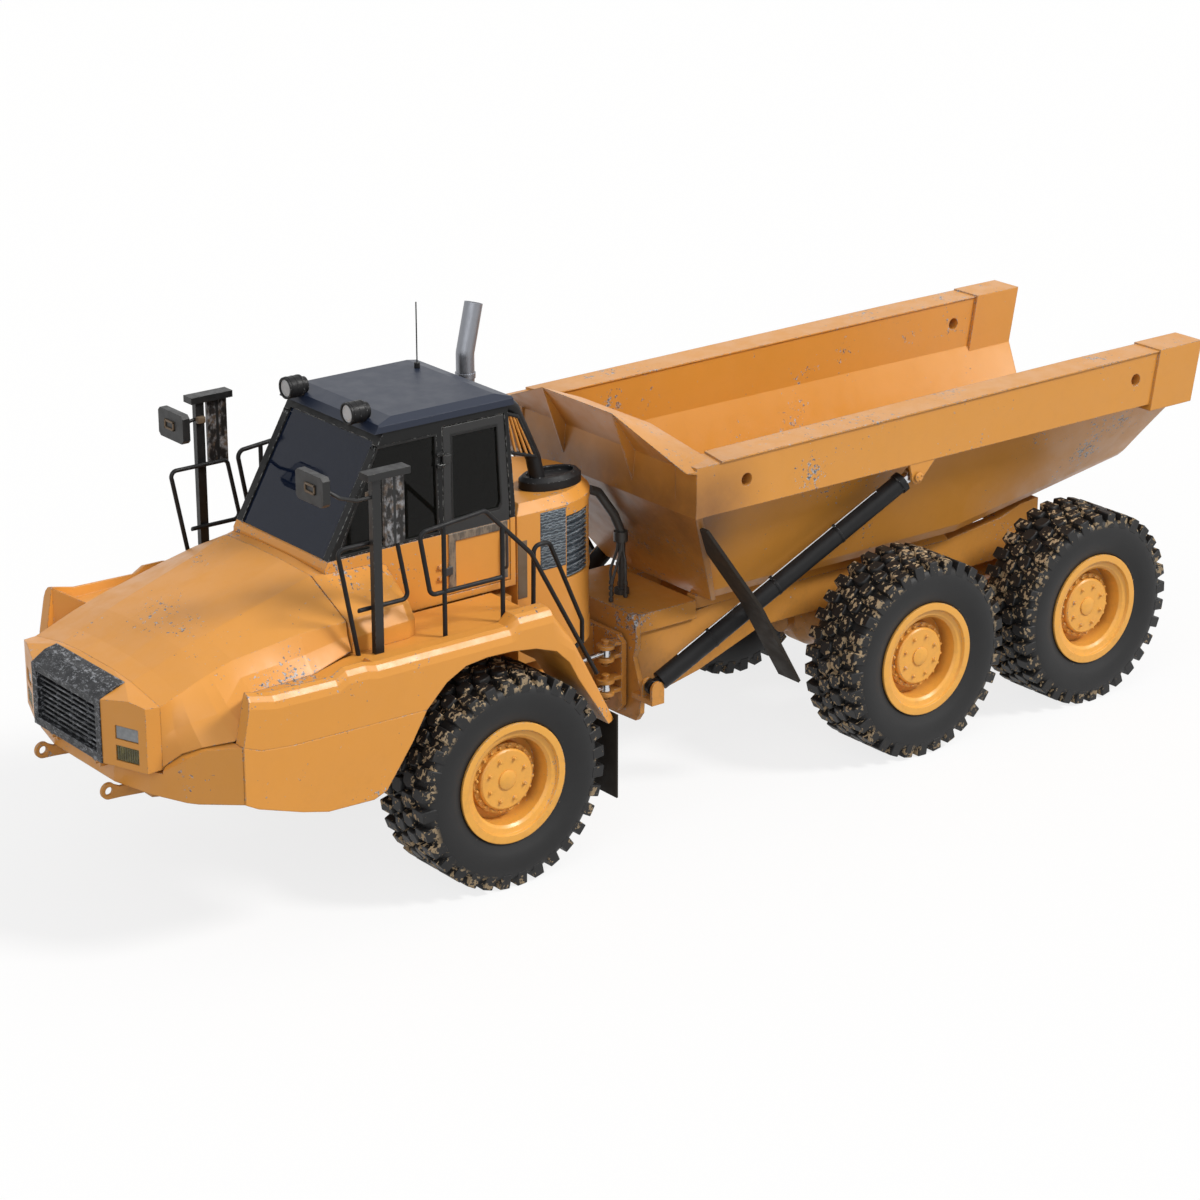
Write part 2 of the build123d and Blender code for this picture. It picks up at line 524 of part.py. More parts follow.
cap = plate_z(
    [(117, cap_out), (60, RAIL_INNER_Y - 10), (rail_end_x, RAIL_INNER_Y - 10),
    (rail_end_x, cap_out)], 2762, 2812)
cap &= plate_y(
    [(200, 2765), (TAIL_X, 2808), (TAIL_X, 2822), (200, 2779)], RAIL_INNER_Y - 50, BODY_HALF_WIDTH + 100)
dump_body += both_sides(cap)
sill_z = REAR_FRAME_TOP_Z + SEAT_GAP
sill = plate_y([
    (-230, sill_z), (-230, BODY_FLOOR_Z + 10), (BEAM_PIVOT_X - 40, BODY_FLOOR_Z + 10),
    (BEAM_PIVOT_X - 120, sill_z)], rear_rail_in, rear_rail_out)
dump_body += both_sides(sill)
high_x, high_y, high_z = HOIST_HIGH
bracket = plate_y([
    (high_x + 90, RAIL_LOW_Z + 5), (high_x + 50, high_z - 20), (high_x - 50, high_z - 20),
    (high_x - 190, RAIL_LOW_Z + 5)], high_y + 60, high_y + 84)
bracket += cross_rod(high_x, high_z, high_y + 60, high_y + 84, 60)
dump_body += both_sides(bracket + cross_rod(high_x, high_z, high_y + 40, high_y + 96, HOIST_PIN_RADIUS))
for ear_y in (rear_rail_in - 60, rear_rail_in - 140):
    ear = plate_y([
        (TIP_PIVOT_X + 330, 1500), (TIP_PIVOT_X + 60, TIP_PIVOT_Z - 110), (TIP_PIVOT_X - 70, TIP_PIVOT_Z - 110),
        (TIP_PIVOT_X - 260, 1620), (TIP_PIVOT_X + 330, 1510)], ear_y, ear_y + 40)
    dump_body += both_sides(ear + cross_rod(TIP_PIVOT_X, TIP_PIVOT_Z, ear_y, ear_y + 40, 140))
dump_body -= cross_rod(TIP_PIVOT_X, TIP_PIVOT_Z, -600, 600, 85 + PIN_GAP)
for hole_x, hole_z in LIFT_HOLES:
    dump_body -= cross_rod(hole_x, hole_z, -body_reach, body_reach, LIFT_HOLE_RADIUS)
write(dump_body, "dump_body")

guard = plate_y([
    (260, 2260), (235, 2270), (-300, 1545), (-700, 850), (-680, 835), (-270, 1535)],
    BODY_HALF_WIDTH - 225, BODY_HALF_WIDTH + 15)
write(both_sides(guard - front_wall), "mid_wheel_guards")

# Bumper: wrapped apron whose top edge climbs back to the fenders
# Columns: distance behind the grille, outer half width, inner half width
BUMPER_PLAN = ((110, 420, 400), (190, 764, 740), (310, 1050, 1000), (560, 1390, 1250))
outer_line = [(nose(back), outer) for back, outer, inner in BUMPER_PLAN]
inner_line = [(nose(min(max(back + 50, 240), 560)), inner) for back, outer, inner in BUMPER_PLAN]
plan = outer_line + inner_line[::-1]
apron = plate_z(plan + [(x, -y) for x, y in reversed(plan)], 1200, 1700)
# Columns: distance behind the grille, height of the top edge
BUMPER_TOP = ((100, 1330), (150, 1335), (240, 1400), (320, 1525), (400, 1600), (560, 1655))
bumper_side = [(nose(100), 1200)] + [(nose(back), z) for back, z in BUMPER_TOP]
bumper_side += [(SKIRT_FRONT_X, 1235), (nose(360), 1200)]
bumper = apron & plate_y(bumper_side, -1500, 1500)
bumper -= box((nose(900), GRILLE_X), (-870, 870), (NOSE_LOW_Z - PANEL_GAP, 1700))
bumper += both_sides(box((frame_front_x - 100, nose(230)), (rail_out + 60, rail_out + 140), (1210, 1290)))
bumper += box((frame_front_x + SEAT_GAP, nose(230)), (-rail_out - 140, rail_out + 140), (1210, 1290))
HOOD_HINGES = (-300, 300)
for hinge_y in HOOD_HINGES:
    for ear_y in (hinge_y - 32, hinge_y + 32):
        ear = box((nose(160), HOOD_HINGE_X), (ear_y - 10, ear_y + 10), (HOOD_HINGE_Z - 52, HOOD_HINGE_Z + 4))
        ear += cross_rod(HOOD_HINGE_X, HOOD_HINGE_Z, ear_y - 10, ear_y + 10, 24)
        bumper += ear
    bumper += cross_rod(HOOD_HINGE_X, HOOD_HINGE_Z, hinge_y - 40, hinge_y + 40, 12)
write(bumper, "bumper")

# Hood: shell whose sides flare from the crease out to the fenders
# Columns: x, low edge y and z, side bend y and z, crease y and z, shoulder y and z
HOOD_SECTIONS = (
    (HOOD_FRONT_X, 858, 1412, 858, 1640, 858, 1858, 480, 1925),
    (nose(320), 1000, 1542, 905, 1690, 859, 1888, 482, 1950),
    (nose(400), 1130, 1608, 985, 1740, 860, 1918, 485, 1975),
    (nose(560), 1290, 1668, 1075, 1800, 860, 1982, 490, 2045),
    (nose(635), 1300, 1715, 1070, 1850, 860, 2005, 495, 2078),
    (nose(820), 1090, 1890, 965, 1965, 862, 2062, 505, 2140),
    (COWL_FRONT_X + 335, 1090, 1905, 990, 2020, 930, 2155, 530, 2295),
    (COWL_FRONT_X, 1060, 1990, 1015, 2090, 1000, 2192, 560, 2405))


def hood_skin(inset, drop):
    """Solid under the hood's surface, drawn in by the inset and down at the open side by the drop."""
    faces = []
    for x, low_y, low_z, bend_y, bend_z, crease_y, crease_z, shoulder_y, shoulder_z in HOOD_SECTIONS:
        faces.append(section(x, mirrored([
            (low_y - inset, low_z - drop), (bend_y - inset, bend_z - inset),
            (crease_y - inset, crease_z - inset),
            (shoulder_y - inset, shoulder_z - inset), (200, shoulder_z + 18 - inset)])))
    return span(faces)


hood = hood_skin(0, 0) - hood_skin(HOOD_WALL, 60)
write(hood, "hood")

# Nose: plan, side and front outlines crossed, with a grille opening and lamp pockets
nose_plan = plate_z([
    (HOOD_FRONT_X + 0.3, -858), (NOSE_CORNER_X, -837), (GRILLE_X, -470), (GRILLE_X, 470), (NOSE_CORNER_X, 837),
    (HOOD_FRONT_X + 0.3, 858)], NOSE_LOW_Z, 1960)
nose_side = plate_y([
    (HOOD_FRONT_X, 1400), (nose(130), NOSE_LOW_Z), (GRILLE_X + 10, NOSE_LOW_Z), (GRILLE_X + 10, 1845),
    (nose(120), 1905), (HOOD_FRONT_X, 1943)], -900, 900)
nose_front = plate_x([
    (-858, 1380), (-858, 1858), (-480, 1925), (-200, 1943), (200, 1943), (480, 1925), (858, 1858), (858, 1380)],
    HOOD_FRONT_X - 10, GRILLE_X + 20)
nose_slope = plate_y([
    (nose(250), 1700), (nose(250), 1945), (GRILLE_X + 20, 1845), (GRILLE_X + 20, 1300),
    (nose(250), 1300)], -900, 900)
nose_shell = nose_plan & nose_side & nose_front & nose_slope
nose_shell -= box((HEADER_X, GRILLE_X + 30), (-GRILLE_HALF_WIDTH, GRILLE_HALF_WIDTH), (NOSE_LOW_Z - 20, 1960))
lamp_run = (GRILLE_X - NOSE_CORNER_X, 470 - 837, 0)
lamp_face = Plane(origin=(NOSE_CORNER_X, 837, 0), x_dir=lamp_run, z_dir=(0, 0, 1))
lamps = Part()
# Columns: low and high edge of each lamp, number of ribs on its face
for low_z, high_z, ribs in ((1432, 1545, 9), (1590, 1690, 0)):
    nose_shell -= both_sides(lamp_face * box((70, 270), (-70, 20), (low_z, high_z)))
    lamp = box((74, 266), (-69.5, -8), (low_z + 4, high_z - 4))
    for index in range(ribs):
        rib_x = between(80, 260, (index + 0.5) / ribs)
        lamp += box((rib_x - 4, rib_x + 4), (-8, -2), (low_z + 8, high_z - 8))
    lamps += lamp_face * lamp
write(nose_shell, "nose")
write(both_sides(lamps), "headlamps")

# Grille: worn surround, recessed cross bars and the hood's front hinges
grille_side = [
    (HEADER_X + SEAT_GAP, NOSE_LOW_Z), (GRILLE_X + 10, NOSE_LOW_Z), (GRILLE_X + 10, 1840), (nose(105), 1912),
    (HEADER_X + SEAT_GAP, 1931)]
inside = GRILLE_HALF_WIDTH - SEAT_GAP
grille = plate_y(grille_side, -inside, inside)
grille -= box((HEADER_X + 40, GRILLE_X + 20), (-inside + 60, inside - 60), (NOSE_LOW_Z + 60, 1790))
bar_pitch = (1790 - NOSE_LOW_Z - 60) / GRILLE_BARS
for index in range(GRILLE_BARS):
    bar_z = NOSE_LOW_Z + 60 + (index + 0.5) * bar_pitch
    grille += box((HEADER_X + 30, nose(22)), (-inside + 60, inside - 60), (bar_z - 7, bar_z + 7))
for post_y in (-210, 0, 210):
    grille += box((HEADER_X + 30, nose(40)), (post_y - 9, post_y + 9), (NOSE_LOW_Z + 50, 1800))
for hinge_y in HOOD_HINGES:
    grille += cross_rod(HOOD_HINGE_X, HOOD_HINGE_Z, hinge_y - 12, hinge_y + 12, 24)
    grille += box(
        (HOOD_HINGE_X - 24, HOOD_HINGE_X + 24), (hinge_y - 12, hinge_y + 12), (HOOD_HINGE_Z, NOSE_LOW_Z + 10))
    grille -= cross_rod(HOOD_HINGE_X, HOOD_HINGE_Z, hinge_y - 20, hinge_y + 20, 12 + PIN_GAP)
write(grille, "grille")

# Fenders: closed box over the front wheel, crowned along its outer edge
# Arch columns: degrees up from straight ahead of the axle, clearance round the tyre
ARCH = (
    (165, 97), (132, 75), (122, 146), (113, 192), (102, 197), (90, 204), (78, 234), (68, 268), (58, 269),
    (48, 246), (45.4, 246))
SKIRT_ARCH = ((45.4, 246), (31.8, 213), (12, 308))
# The fender's rear edge, listed from the bottom up
FENDER_REAR = ((165.3, 169), (117, 334))


def round_axle(rows):
    """Points round the front axle, from angles and clearances to the tyre."""
    points = []
    for degrees, gap in rows:
        reach = TYRE_RADIUS + gap
        angle = math.radians(degrees)
        points.append((FRONT_AXLE_X + reach * math.cos(angle), AXLE_Z + reach * math.sin(angle)))
    return points


seam_x = round_axle(ARCH)[-1][0]
# Columns: share of the way from the arch to the skirt's front, height of the seam
SEAM = ((0, SEAM_Z), (0.733, 1575), (0.907, 1600))
seam_line = [(between(seam_x, SKIRT_FRONT_X, share), z) for share, z in SEAM]
fender_line = [(SKIRT_FRONT_X, 1655), (nose(635), 2040), (fa(-128), 2080), (fa(-420), 2080)]
fender_line += round_axle(FENDER_REAR)[::-1] + round_axle(ARCH)[:-1] + seam_line
fender_side = plate_y(fender_line, FENDER_INNER_Y, FENDER_OUTER_Y)
# Columns: x, inner y and z, top z; the front of the box stands off the hood's side by the panel gap
FENDER_SECTIONS = (
    (SKIRT_FRONT_X, 1290, 2000, 2012), (nose(635), 1300, 2000, 2012), (nose(820), 1090, 1898, 1972),
    (COWL_FRONT_X + 335, 1090, 1912, 1962), (COWL_FRONT_X + 250, 1085, 1930, 2010),
    (COWL_FRONT_X + 90, 1070, 1960, 2010), (COWL_FRONT_X, 1060, DECK_Z, 1990))
DECK_SECTIONS = (
    (COWL_FRONT_X, FENDER_INNER_Y - 10, DECK_Z, 1990), (fa(0), FENDER_INNER_Y - 10, DECK_Z, 1990),
    (fa(-75), FENDER_INNER_Y - 10, DECK_Z, 2058), (fa(-365), FENDER_INNER_Y - 10, DECK_Z, 2058),
    (fa(-560), FENDER_INNER_Y - 10, 1700, 1790), (fa(-1100), FENDER_INNER_Y - 10, 700, 800))


def fender_skin(rows, lip_y):
    """Cross sections with a flat inner top, a step up to the rim and a rounded outer edge."""
    faces = []
    outer = FENDER_OUTER_Y
    for x, inner_y, inner_z, top_z in rows:
        wall_y = inner_y + PANEL_GAP
        faces.append(section(x, [
            (wall_y, 700), (outer, 700), (outer, top_z - 100), (outer - 12, top_z - 48),
            (outer - 40, top_z - 14), (outer - 80, top_z), (lip_y, top_z),
            (max(lip_y - 20, wall_y + 5), inner_z), (wall_y, inner_z)]))
    return span(faces)


fender = fender_skin(FENDER_SECTIONS, FENDER_OUTER_Y - 90) + fender_skin(DECK_SECTIONS, FENDER_OUTER_Y - 180)
fender &= fender_side
leg_room = box((fa(-960), fa(-380)), (FENDER_INNER_Y - 1, FENDER_INNER_Y + 220), (1000, 1460))
fender -= leg_room
write(both_sides(fender), "fenders")

# Skirts below the seam
skirt_rear_x = round_axle(SKIRT_ARCH)[-1][0]
# Columns: share of the way from the arch to the front, height of the lower edge
SKIRT_EDGE = ((0.0925, 1002), (0.424, 1013), (0.607, 1066), (0.913, 1181), (1, 1235))
skirt_line = round_axle(SKIRT_ARCH)[1:]
skirt_line += [(between(skirt_rear_x, SKIRT_FRONT_X, share), z) for share, z in SKIRT_EDGE]
skirt = plate_y(skirt_line + [(SKIRT_FRONT_X, 1655)] + seam_line[::-1], SKIRT_INNER_Y, FENDER_OUTER_Y)
write(both_sides(skirt), "side_skirts")

flap_x = FRONT_AXLE_X - TYRE_RADIUS - 134
mudflap = box((flap_x - 14, flap_x), (870, FENDER_OUTER_Y - 10), (440, 1100))
write(both_sides(mudflap - fender_side), "front_mudflaps")

# Cowl: carries the hood's surface on to the windscreen and along below the side windows
# Columns: x, foot y, side y and z, crease y and z, shoulder y and z
COWL_SECTIONS = (
    (COWL_FRONT_X - 15, COWL_HALF_WIDTH, COWL_HALF_WIDTH, 2075, 1000, 2180, 560, 2393),
    (CAB_FRONT_X, COWL_HALF_WIDTH, COWL_HALF_WIDTH, 2085, 992, 2190, 600, 2405),
    (fa(640), COWL_HALF_WIDTH - 12, COWL_HALF_WIDTH - 12, 2095, 980, 2200, 600, 2395),
    (fa(560), COWL_HALF_WIDTH - 50, COWL_HALF_WIDTH - 50, 2080, 935, 2185, 600, 2380),
    (fa(525), COWL_HALF_WIDTH - 120, COWL_HALF_WIDTH - 120, 2060, 880, 2160, 600, 2365))
cowl_faces = []
for x, foot_y, side_y, side_z, crease_y, crease_z, shoulder_y, shoulder_z in COWL_SECTIONS:
    cowl_faces.append(section(x, mirrored([
        (foot_y, DECK_Z + SEAT_GAP), (side_y, side_z), (crease_y, crease_z), (shoulder_y, shoulder_z),
        (200, shoulder_z + 18)])))
cowl = span(cowl_faces)
cab_seat = CAB_HALF_WIDTH + SEAT_GAP
cowl -= box((fa(500), CAB_FRONT_X + 2), (-cab_seat, cab_seat), (CAB_FLOOR_Z, 2500))
foot_room = CAB_HALF_WIDTH + 350
cowl -= box((CAB_FRONT_X - 20, CAB_FRONT_X + 40), (-foot_room, foot_room), (DECK_Z - 5, 2040))
write(cowl, "cowl")

# Cab: yellow tub below the sill, black window frame above it, door on the left
wall = CAB_WALL
cab_side = [
    (CAB_FRONT_X, CAB_FLOOR_Z), (CAB_FRONT_X, WINDSCREEN_LOW_Z), (fa(520), CAB_ROOF_Z), (fa(-560), CAB_ROOF_Z),
    (CAB_REAR_X, 2580), (CAB_REAR_X, CAB_FLOOR_Z)]
cab_room = plate_y([
    (CAB_FRONT_X - wall, CAB_FLOOR_Z + wall), (CAB_FRONT_X - wall, WINDSCREEN_LOW_Z - 10),
    (fa(520) - wall - 8, CAB_ROOF_Z - wall), (fa(-560) + wall, CAB_ROOF_Z - wall), (CAB_REAR_X + wall, 2575),
    (CAB_REAR_X + wall, CAB_FLOOR_Z + wall)], -CAB_HALF_WIDTH + wall, CAB_HALF_WIDTH - wall)
shell = plate_y(cab_side, -CAB_HALF_WIDTH, CAB_HALF_WIDTH) - cab_room
screen_slant = [
    (CAB_FRONT_X - 60, WINDSCREEN_LOW_Z + 45), (CAB_FRONT_X + 60, WINDSCREEN_LOW_Z + 45),
    (fa(640), CAB_ROOF_Z - 75),
    (fa(450), CAB_ROOF_Z - 75)]
FRONT_WINDOW = [(fa(930), 2500), (fa(575), 3250), (fa(70), 3250), (fa(55), 2500)]
REAR_WINDOW = [(fa(-45), 2560), (fa(-45), 3250), (fa(-500), 3250), (fa(-535), 2600), (fa(-500), 2560)]
DOOR = [(fa(15), 2010), (fa(15), 3290), (fa(-530), 3290), (fa(-575), 2600), (fa(-575), 2010)]
DOOR_WINDOW = [(fa(-60), 2570), (fa(-60), 3220), (fa(-470), 3220), (fa(-505), 2610), (fa(-480), 2570)]
cab_reach = CAB_HALF_WIDTH + 10
shell -= plate_y(screen_slant, -CAB_HALF_WIDTH + 70, CAB_HALF_WIDTH - 70)
shell -= plate_y(FRONT_WINDOW, -cab_reach, cab_reach)
shell -= plate_y(REAR_WINDOW, -cab_reach, 0)
shell -= plate_y(DOOR, 0, cab_reach)
shell -= box((CAB_REAR_X - 10, fa(-400)), (-430, 430), (2660, 3230))


def door_hinge(hinge_z):
    """Fixed knuckles and pin of one door hinge."""
    fixed = Pos(DOOR_HINGE_X, DOOR_HINGE_Y, hinge_z) * Cylinder(6, 110)
    for low_z in (hinge_z - 56, hinge_z + 31):
        leaf_y = (CAB_HALF_WIDTH - 5, DOOR_HINGE_Y + 7)
        fixed += box((DOOR_HINGE_X, DOOR_HINGE_X + 60), leaf_y, (low_z, low_z + 25))
        fixed += Pos(DOOR_HINGE_X, DOOR_HINGE_Y, low_z + 12.5) * Cylinder(12, 25)
    return fixed


cab_length = (CAB_REAR_X - 50, CAB_FRONT_X + 50)
above = box(cab_length, (-cab_reach, cab_reach), (CAB_SILL_Z, CAB_ROOF_Z + 10))
above_seat = box(cab_length, (-cab_reach, cab_reach), (CAB_SILL_Z + SEAT_GAP, CAB_ROOF_Z + 10))
write((shell - above) + door_hinge(DOOR_HINGE_LEVELS[0]), "cab")
write((shell & above_seat) + door_hinge(DOOR_HINGE_LEVELS[1]), "cab_frame")

glass = []
pane_y = CAB_HALF_WIDTH - wall / 2
half_pane = GLASS_THICKNESS / 2
for side in (-1, 1):
    glass.append(inset_plate(FRONT_WINDOW, SEAT_GAP, side * pane_y - half_pane, side * pane_y + half_pane))
glass.append(inset_plate(REAR_WINDOW, SEAT_GAP, -pane_y - half_pane, -pane_y + half_pane))
screen_y = CAB_HALF_WIDTH - 70 - SEAT_GAP
screen = plate_y([
    (CAB_FRONT_X - 18, WINDSCREEN_LOW_Z + 2), (CAB_FRONT_X - 18 - GLASS_THICKNESS, WINDSCREEN_LOW_Z + 2),
    (fa(520) - 18 - GLASS_THICKNESS, CAB_ROOF_Z), (fa(520) - 18, CAB_ROOF_Z)], -screen_y, screen_y)
glass.append(screen & inset_plate(screen_slant, SEAT_GAP, -CAB_HALF_WIDTH, CAB_HALF_WIDTH))
rear_pane = plate_y(
    [(CAB_REAR_X + 25, 2580), (CAB_REAR_X + 33, 2580), (fa(-560) + 33, CAB_ROOF_Z),
    (fa(-560) + 25, CAB_ROOF_Z)],
    -430 + SEAT_GAP, 430 - SEAT_GAP)
glass.append(rear_pane & box((CAB_REAR_X, fa(-300)), (-500, 500), (2660.3, 3229.7)))
write(Part() + glass, "cab_glass")

roof_reach = CAB_HALF_WIDTH + 15
roof = plate_y([
    (fa(600), CAB_ROOF_Z + SEAT_GAP), (fa(560), CAB_ROOF_Z + 60), (fa(420), CAB_ROOF_Z + 90),
    (fa(-480), CAB_ROOF_Z + 90),
    (fa(-600), CAB_ROOF_Z + 60), (fa(-610), CAB_ROOF_Z + SEAT_GAP)], -roof_reach, roof_reach)
roof &= plate_x(mirrored([
    (roof_reach, CAB_ROOF_Z), (roof_reach, CAB_ROOF_Z + 50), (CAB_HALF_WIDTH - 60, CAB_ROOF_Z + 95)]),
    fa(-700), fa(700))
write(roof, "cab_roof")

door = inset_plate(DOOR, 6, CAB_HALF_WIDTH - wall + 3, CAB_HALF_WIDTH - 3)
door -= plate_y(DOOR_WINDOW, 0, cab_reach)
panel_edge = box((fa(-545), fa(-22)), (CAB_HALF_WIDTH - 4, CAB_HALF_WIDTH + 8), (2040, 2475))
panel_edge -= box((fa(-485), fa(-82)), (CAB_HALF_WIDTH - 10, CAB_HALF_WIDTH + 12), (2030, 2415))
door += panel_edge
handle = tube([
    (fa(-515), CAB_HALF_WIDTH - 5, 2400), (fa(-515), CAB_HALF_WIDTH + 40, 2400),
    (fa(-515), CAB_HALF_WIDTH + 40, 2120),
    (fa(-515), CAB_HALF_WIDTH - 5, 2120)], 11, 25)
door += handle
for hinge_z in DOOR_HINGE_LEVELS:
    levels = (hinge_z - 30, hinge_z + 30)
    door += box((DOOR_HINGE_X - 60, DOOR_HINGE_X - 8), (CAB_HALF_WIDTH - 10, DOOR_HINGE_Y + 5), levels)
    door += box((DOOR_HINGE_X - 60, DOOR_HINGE_X), (CAB_HALF_WIDTH + 2, DOOR_HINGE_Y + 7), levels)
    door += Pos(DOOR_HINGE_X, DOOR_HINGE_Y, hinge_z) * Cylinder(12, 60)
    door -= Pos(DOOR_HINGE_X, DOOR_HINGE_Y, hinge_z) * Cylinder(6 + PIN_GAP, 70)
write(door, "cab_door")
write(inset_plate(DOOR_WINDOW, SEAT_GAP, CAB_HALF_WIDTH - 26, CAB_HALF_WIDTH - 18), "door_glass")

floor_z = CAB_FLOOR_Z + wall + SEAT_GAP
seat = box((fa(-330), fa(170)), (-250, 250), (floor_z, 2420))
seat += plate_y([(fa(-330), 2400), (fa(-180), 2400), (fa(-290), 3050), (fa(-400), 3050)], -230, 230)
write(seat, "operator_seat")
dash_x = CAB_FRONT_X - wall - SEAT_GAP
console = plate_y([
    (dash_x, floor_z), (dash_x, 2400), (fa(780), 2470), (fa(640), 2400), (fa(700), floor_z)], -430, 430)
console += rod((fa(700), 0, 2380), (fa(560), 0, 2560), 30)
wheel_place = Plane(origin=(fa(555), 0, 2565), z_dir=(-140, 0, 180))
console += wheel_place * Torus(190, 16)
console += wheel_place * box((-190, 190), (-18, 18), (-8, 8))
write(console, "console")

# Cooling tower behind the cab: rounded housing, grille pockets and louvre inserts
tower_foot_z = FRAME_TOP_Z + SEAT_GAP
tower = plate_z([
    (CAB_REAR_X - 15, -TOWER_RADIUS), (TOWER_CENTRE_X, -TOWER_RADIUS), (TOWER_CENTRE_X, TOWER_RADIUS),
    (CAB_REAR_X - 15, TOWER_RADIUS)], tower_foot_z, TOWER_TOP_Z)
tower_height = TOWER_TOP_Z - tower_foot_z
tower_round = Pos(TOWER_CENTRE_X, 0, tower_foot_z + tower_height / 2) * Cylinder(TOWER_RADIUS, tower_height)
tower += tower_round & box((0, TOWER_CENTRE_X), (-TOWER_RADIUS, TOWER_RADIUS), (0, TOWER_TOP_Z))
tower = chamfer(tower.faces().sort_by(Axis.Z)[-1].outer_wire().edges(), 70)


def tower_arc(outer, inner, low_z, high_z):
    """Ring round the tower's centre between two radii and two heights."""
    ring = Cylinder(outer, high_z - low_z) - Cylinder(inner, high_z - low_z)
    return Pos(TOWER_CENTRE_X, 0, (low_z + high_z) / 2) * ring


louvres = Part()
# Columns: start and end degrees round from straight ahead, low and high edge
TOWER_GRILLES = ((98, 128, 1900, 2390), (133, 163, 1930, 2420), (133, 163, 1500, 1880))
for low_deg, high_deg, low_z, high_z in TOWER_GRILLES:
    corners = [(TOWER_CENTRE_X, 0)]
    for degrees in (low_deg, high_deg):
        angle = math.radians(degrees)
        corners.append((
            TOWER_CENTRE_X + 2 * TOWER_RADIUS * math.cos(angle), 2 * TOWER_RADIUS * math.sin(angle)))
    window = plate_z(corners, low_z, high_z)
    tower -= both_sides(tower_arc(TOWER_RADIUS + 5, TOWER_RADIUS - 40, low_z, high_z) & window)
    insert = tower_arc(TOWER_RADIUS - 28, TOWER_RADIUS - 40, low_z, high_z)
    for row in range(int((high_z - low_z) / LOUVRE_PITCH)):
        blade_z = low_z + (row + 0.3) * LOUVRE_PITCH
        insert += tower_arc(TOWER_RADIUS - 8, TOWER_RADIUS - 36, blade_z, blade_z + LOUVRE_PITCH * 0.4)
    louvres += both_sides(insert & window)
write(tower, "cooling_tower")
write(louvres, "tower_louvres")

# Air intake: duct from the cab's rear corner, swelling into an oval pan on the tower
DUCT_Y = 330
pan_z = TOWER_TOP_Z + SEAT_GAP
pan_place = Pos(fa(-1170), DUCT_Y - 40, pan_z)
pan = pan_place * extrude(Ellipse(265, 165), amount=95)
pan = chamfer(pan.faces().sort_by(Axis.Z)[-1].edges(), 30)
pan -= pan_place * Pos(0, 0, 60) * extrude(Ellipse(205, 108), amount=60)
duct = tube([
    (fa(-640), DUCT_Y, 3295), (fa(-790), DUCT_Y, 3225), (fa(-985), DUCT_Y, 2800),
    (fa(-1040), DUCT_Y - 10, pan_z + 40)], 58, 90)
write(duct + pan, "air_duct")

# Exhaust and aerial on the right
stack = [(fa(-960), -480, TOWER_TOP_Z - 60), (fa(-960), -480, 3420), (fa(-1060), -500, 3790)]
bore = [(fa(-960), -480, TOWER_TOP_Z + 10), (fa(-960), -480, 3420), (fa(-1062), -500.4, 3798)]
exhaust = tube(stack, 70, 120) - tube(bore, 58, 120)
exhaust += Pos(fa(-960), -480, 3250) * (Cylinder(78, 40) - Cylinder(60, 40))
write(exhaust - tower, "exhaust")
aerial = rod((fa(-420), -330, CAB_ROOF_Z + 90.3), (fa(-420), -330, CAB_ROOF_Z + 130), 22)
aerial += rod((fa(-420), -330, CAB_ROOF_Z + 120), (fa(-420), -330, CAB_ROOF_Z + 590), 5)
write(aerial, "aerial")

# Roof work lights
lights = Part()
for light_y in (-397, 397):
    drum = rod((fa(560), light_y, 3464), (fa(690), light_y, 3464), 80)
    drum += rod((fa(520), light_y, 3464), (fa(560), light_y, 3464), 60)
    drum -= rod((fa(676), light_y, 3464), (fa(700), light_y, 3464), 66)
    bracket = box((fa(570), fa(610)), (light_y - 20, light_y + 20), (CAB_ROOF_Z + 62, 3420))
    lights += drum + bracket
write(lights - roof, "work_lights")

# Handrails: front loop on the fender, deck rail with its loop, and a short one down beside the tower
rail_foot = fender + cowl
bar_radius = RAIL_TUBE_RADIUS
front_loop = tube([
    (fa(1092), 1100, 1900), (fa(1092), 1100, 2290), (fa(1268), 1100, 2765), (fa(770), 1100, 2765),
    (fa(675), 1100, 2290),
    (fa(1092), 1100, 2290)], bar_radius, 45)
deck_loop = tube([
    (fa(-78), RAIL_Y, 2305), (fa(545), RAIL_Y, 2305), (fa(632), RAIL_Y, 2780), (fa(70), RAIL_Y, 2830),
    (fa(-330), RAIL_Y, 2430), (fa(-920), RAIL_Y, 1370)], bar_radius, 55)
for post_x, post_top in ((425, 2800), (-78, 2680)):
    deck_loop += rod((fa(post_x), RAIL_Y, 1900), (fa(post_x), RAIL_Y, post_top), bar_radius)
deck_loop += rod((fa(-820), RAIL_Y, 1540), (fa(-820), RAIL_Y - 5, 1545), bar_radius)
short_loop = tube([
    (fa(-590), 850, 1600), (fa(-600), 850, 2335), (fa(-740), 850, 2335), (fa(-1040), 850, 1660),
    (fa(-1040), 850, 1480)], bar_radius, 55)
short_loop += tube([(fa(-1040), 850, 1500), (fa(-900), 850, 1420), (fa(-760), 900, 1500)], bar_radius, 40)
handrail = front_loop + deck_loop + short_loop
handrail -= Pos(0, 0, SEAT_GAP) * rail_foot
write(both_sides(handrail), "handrails")

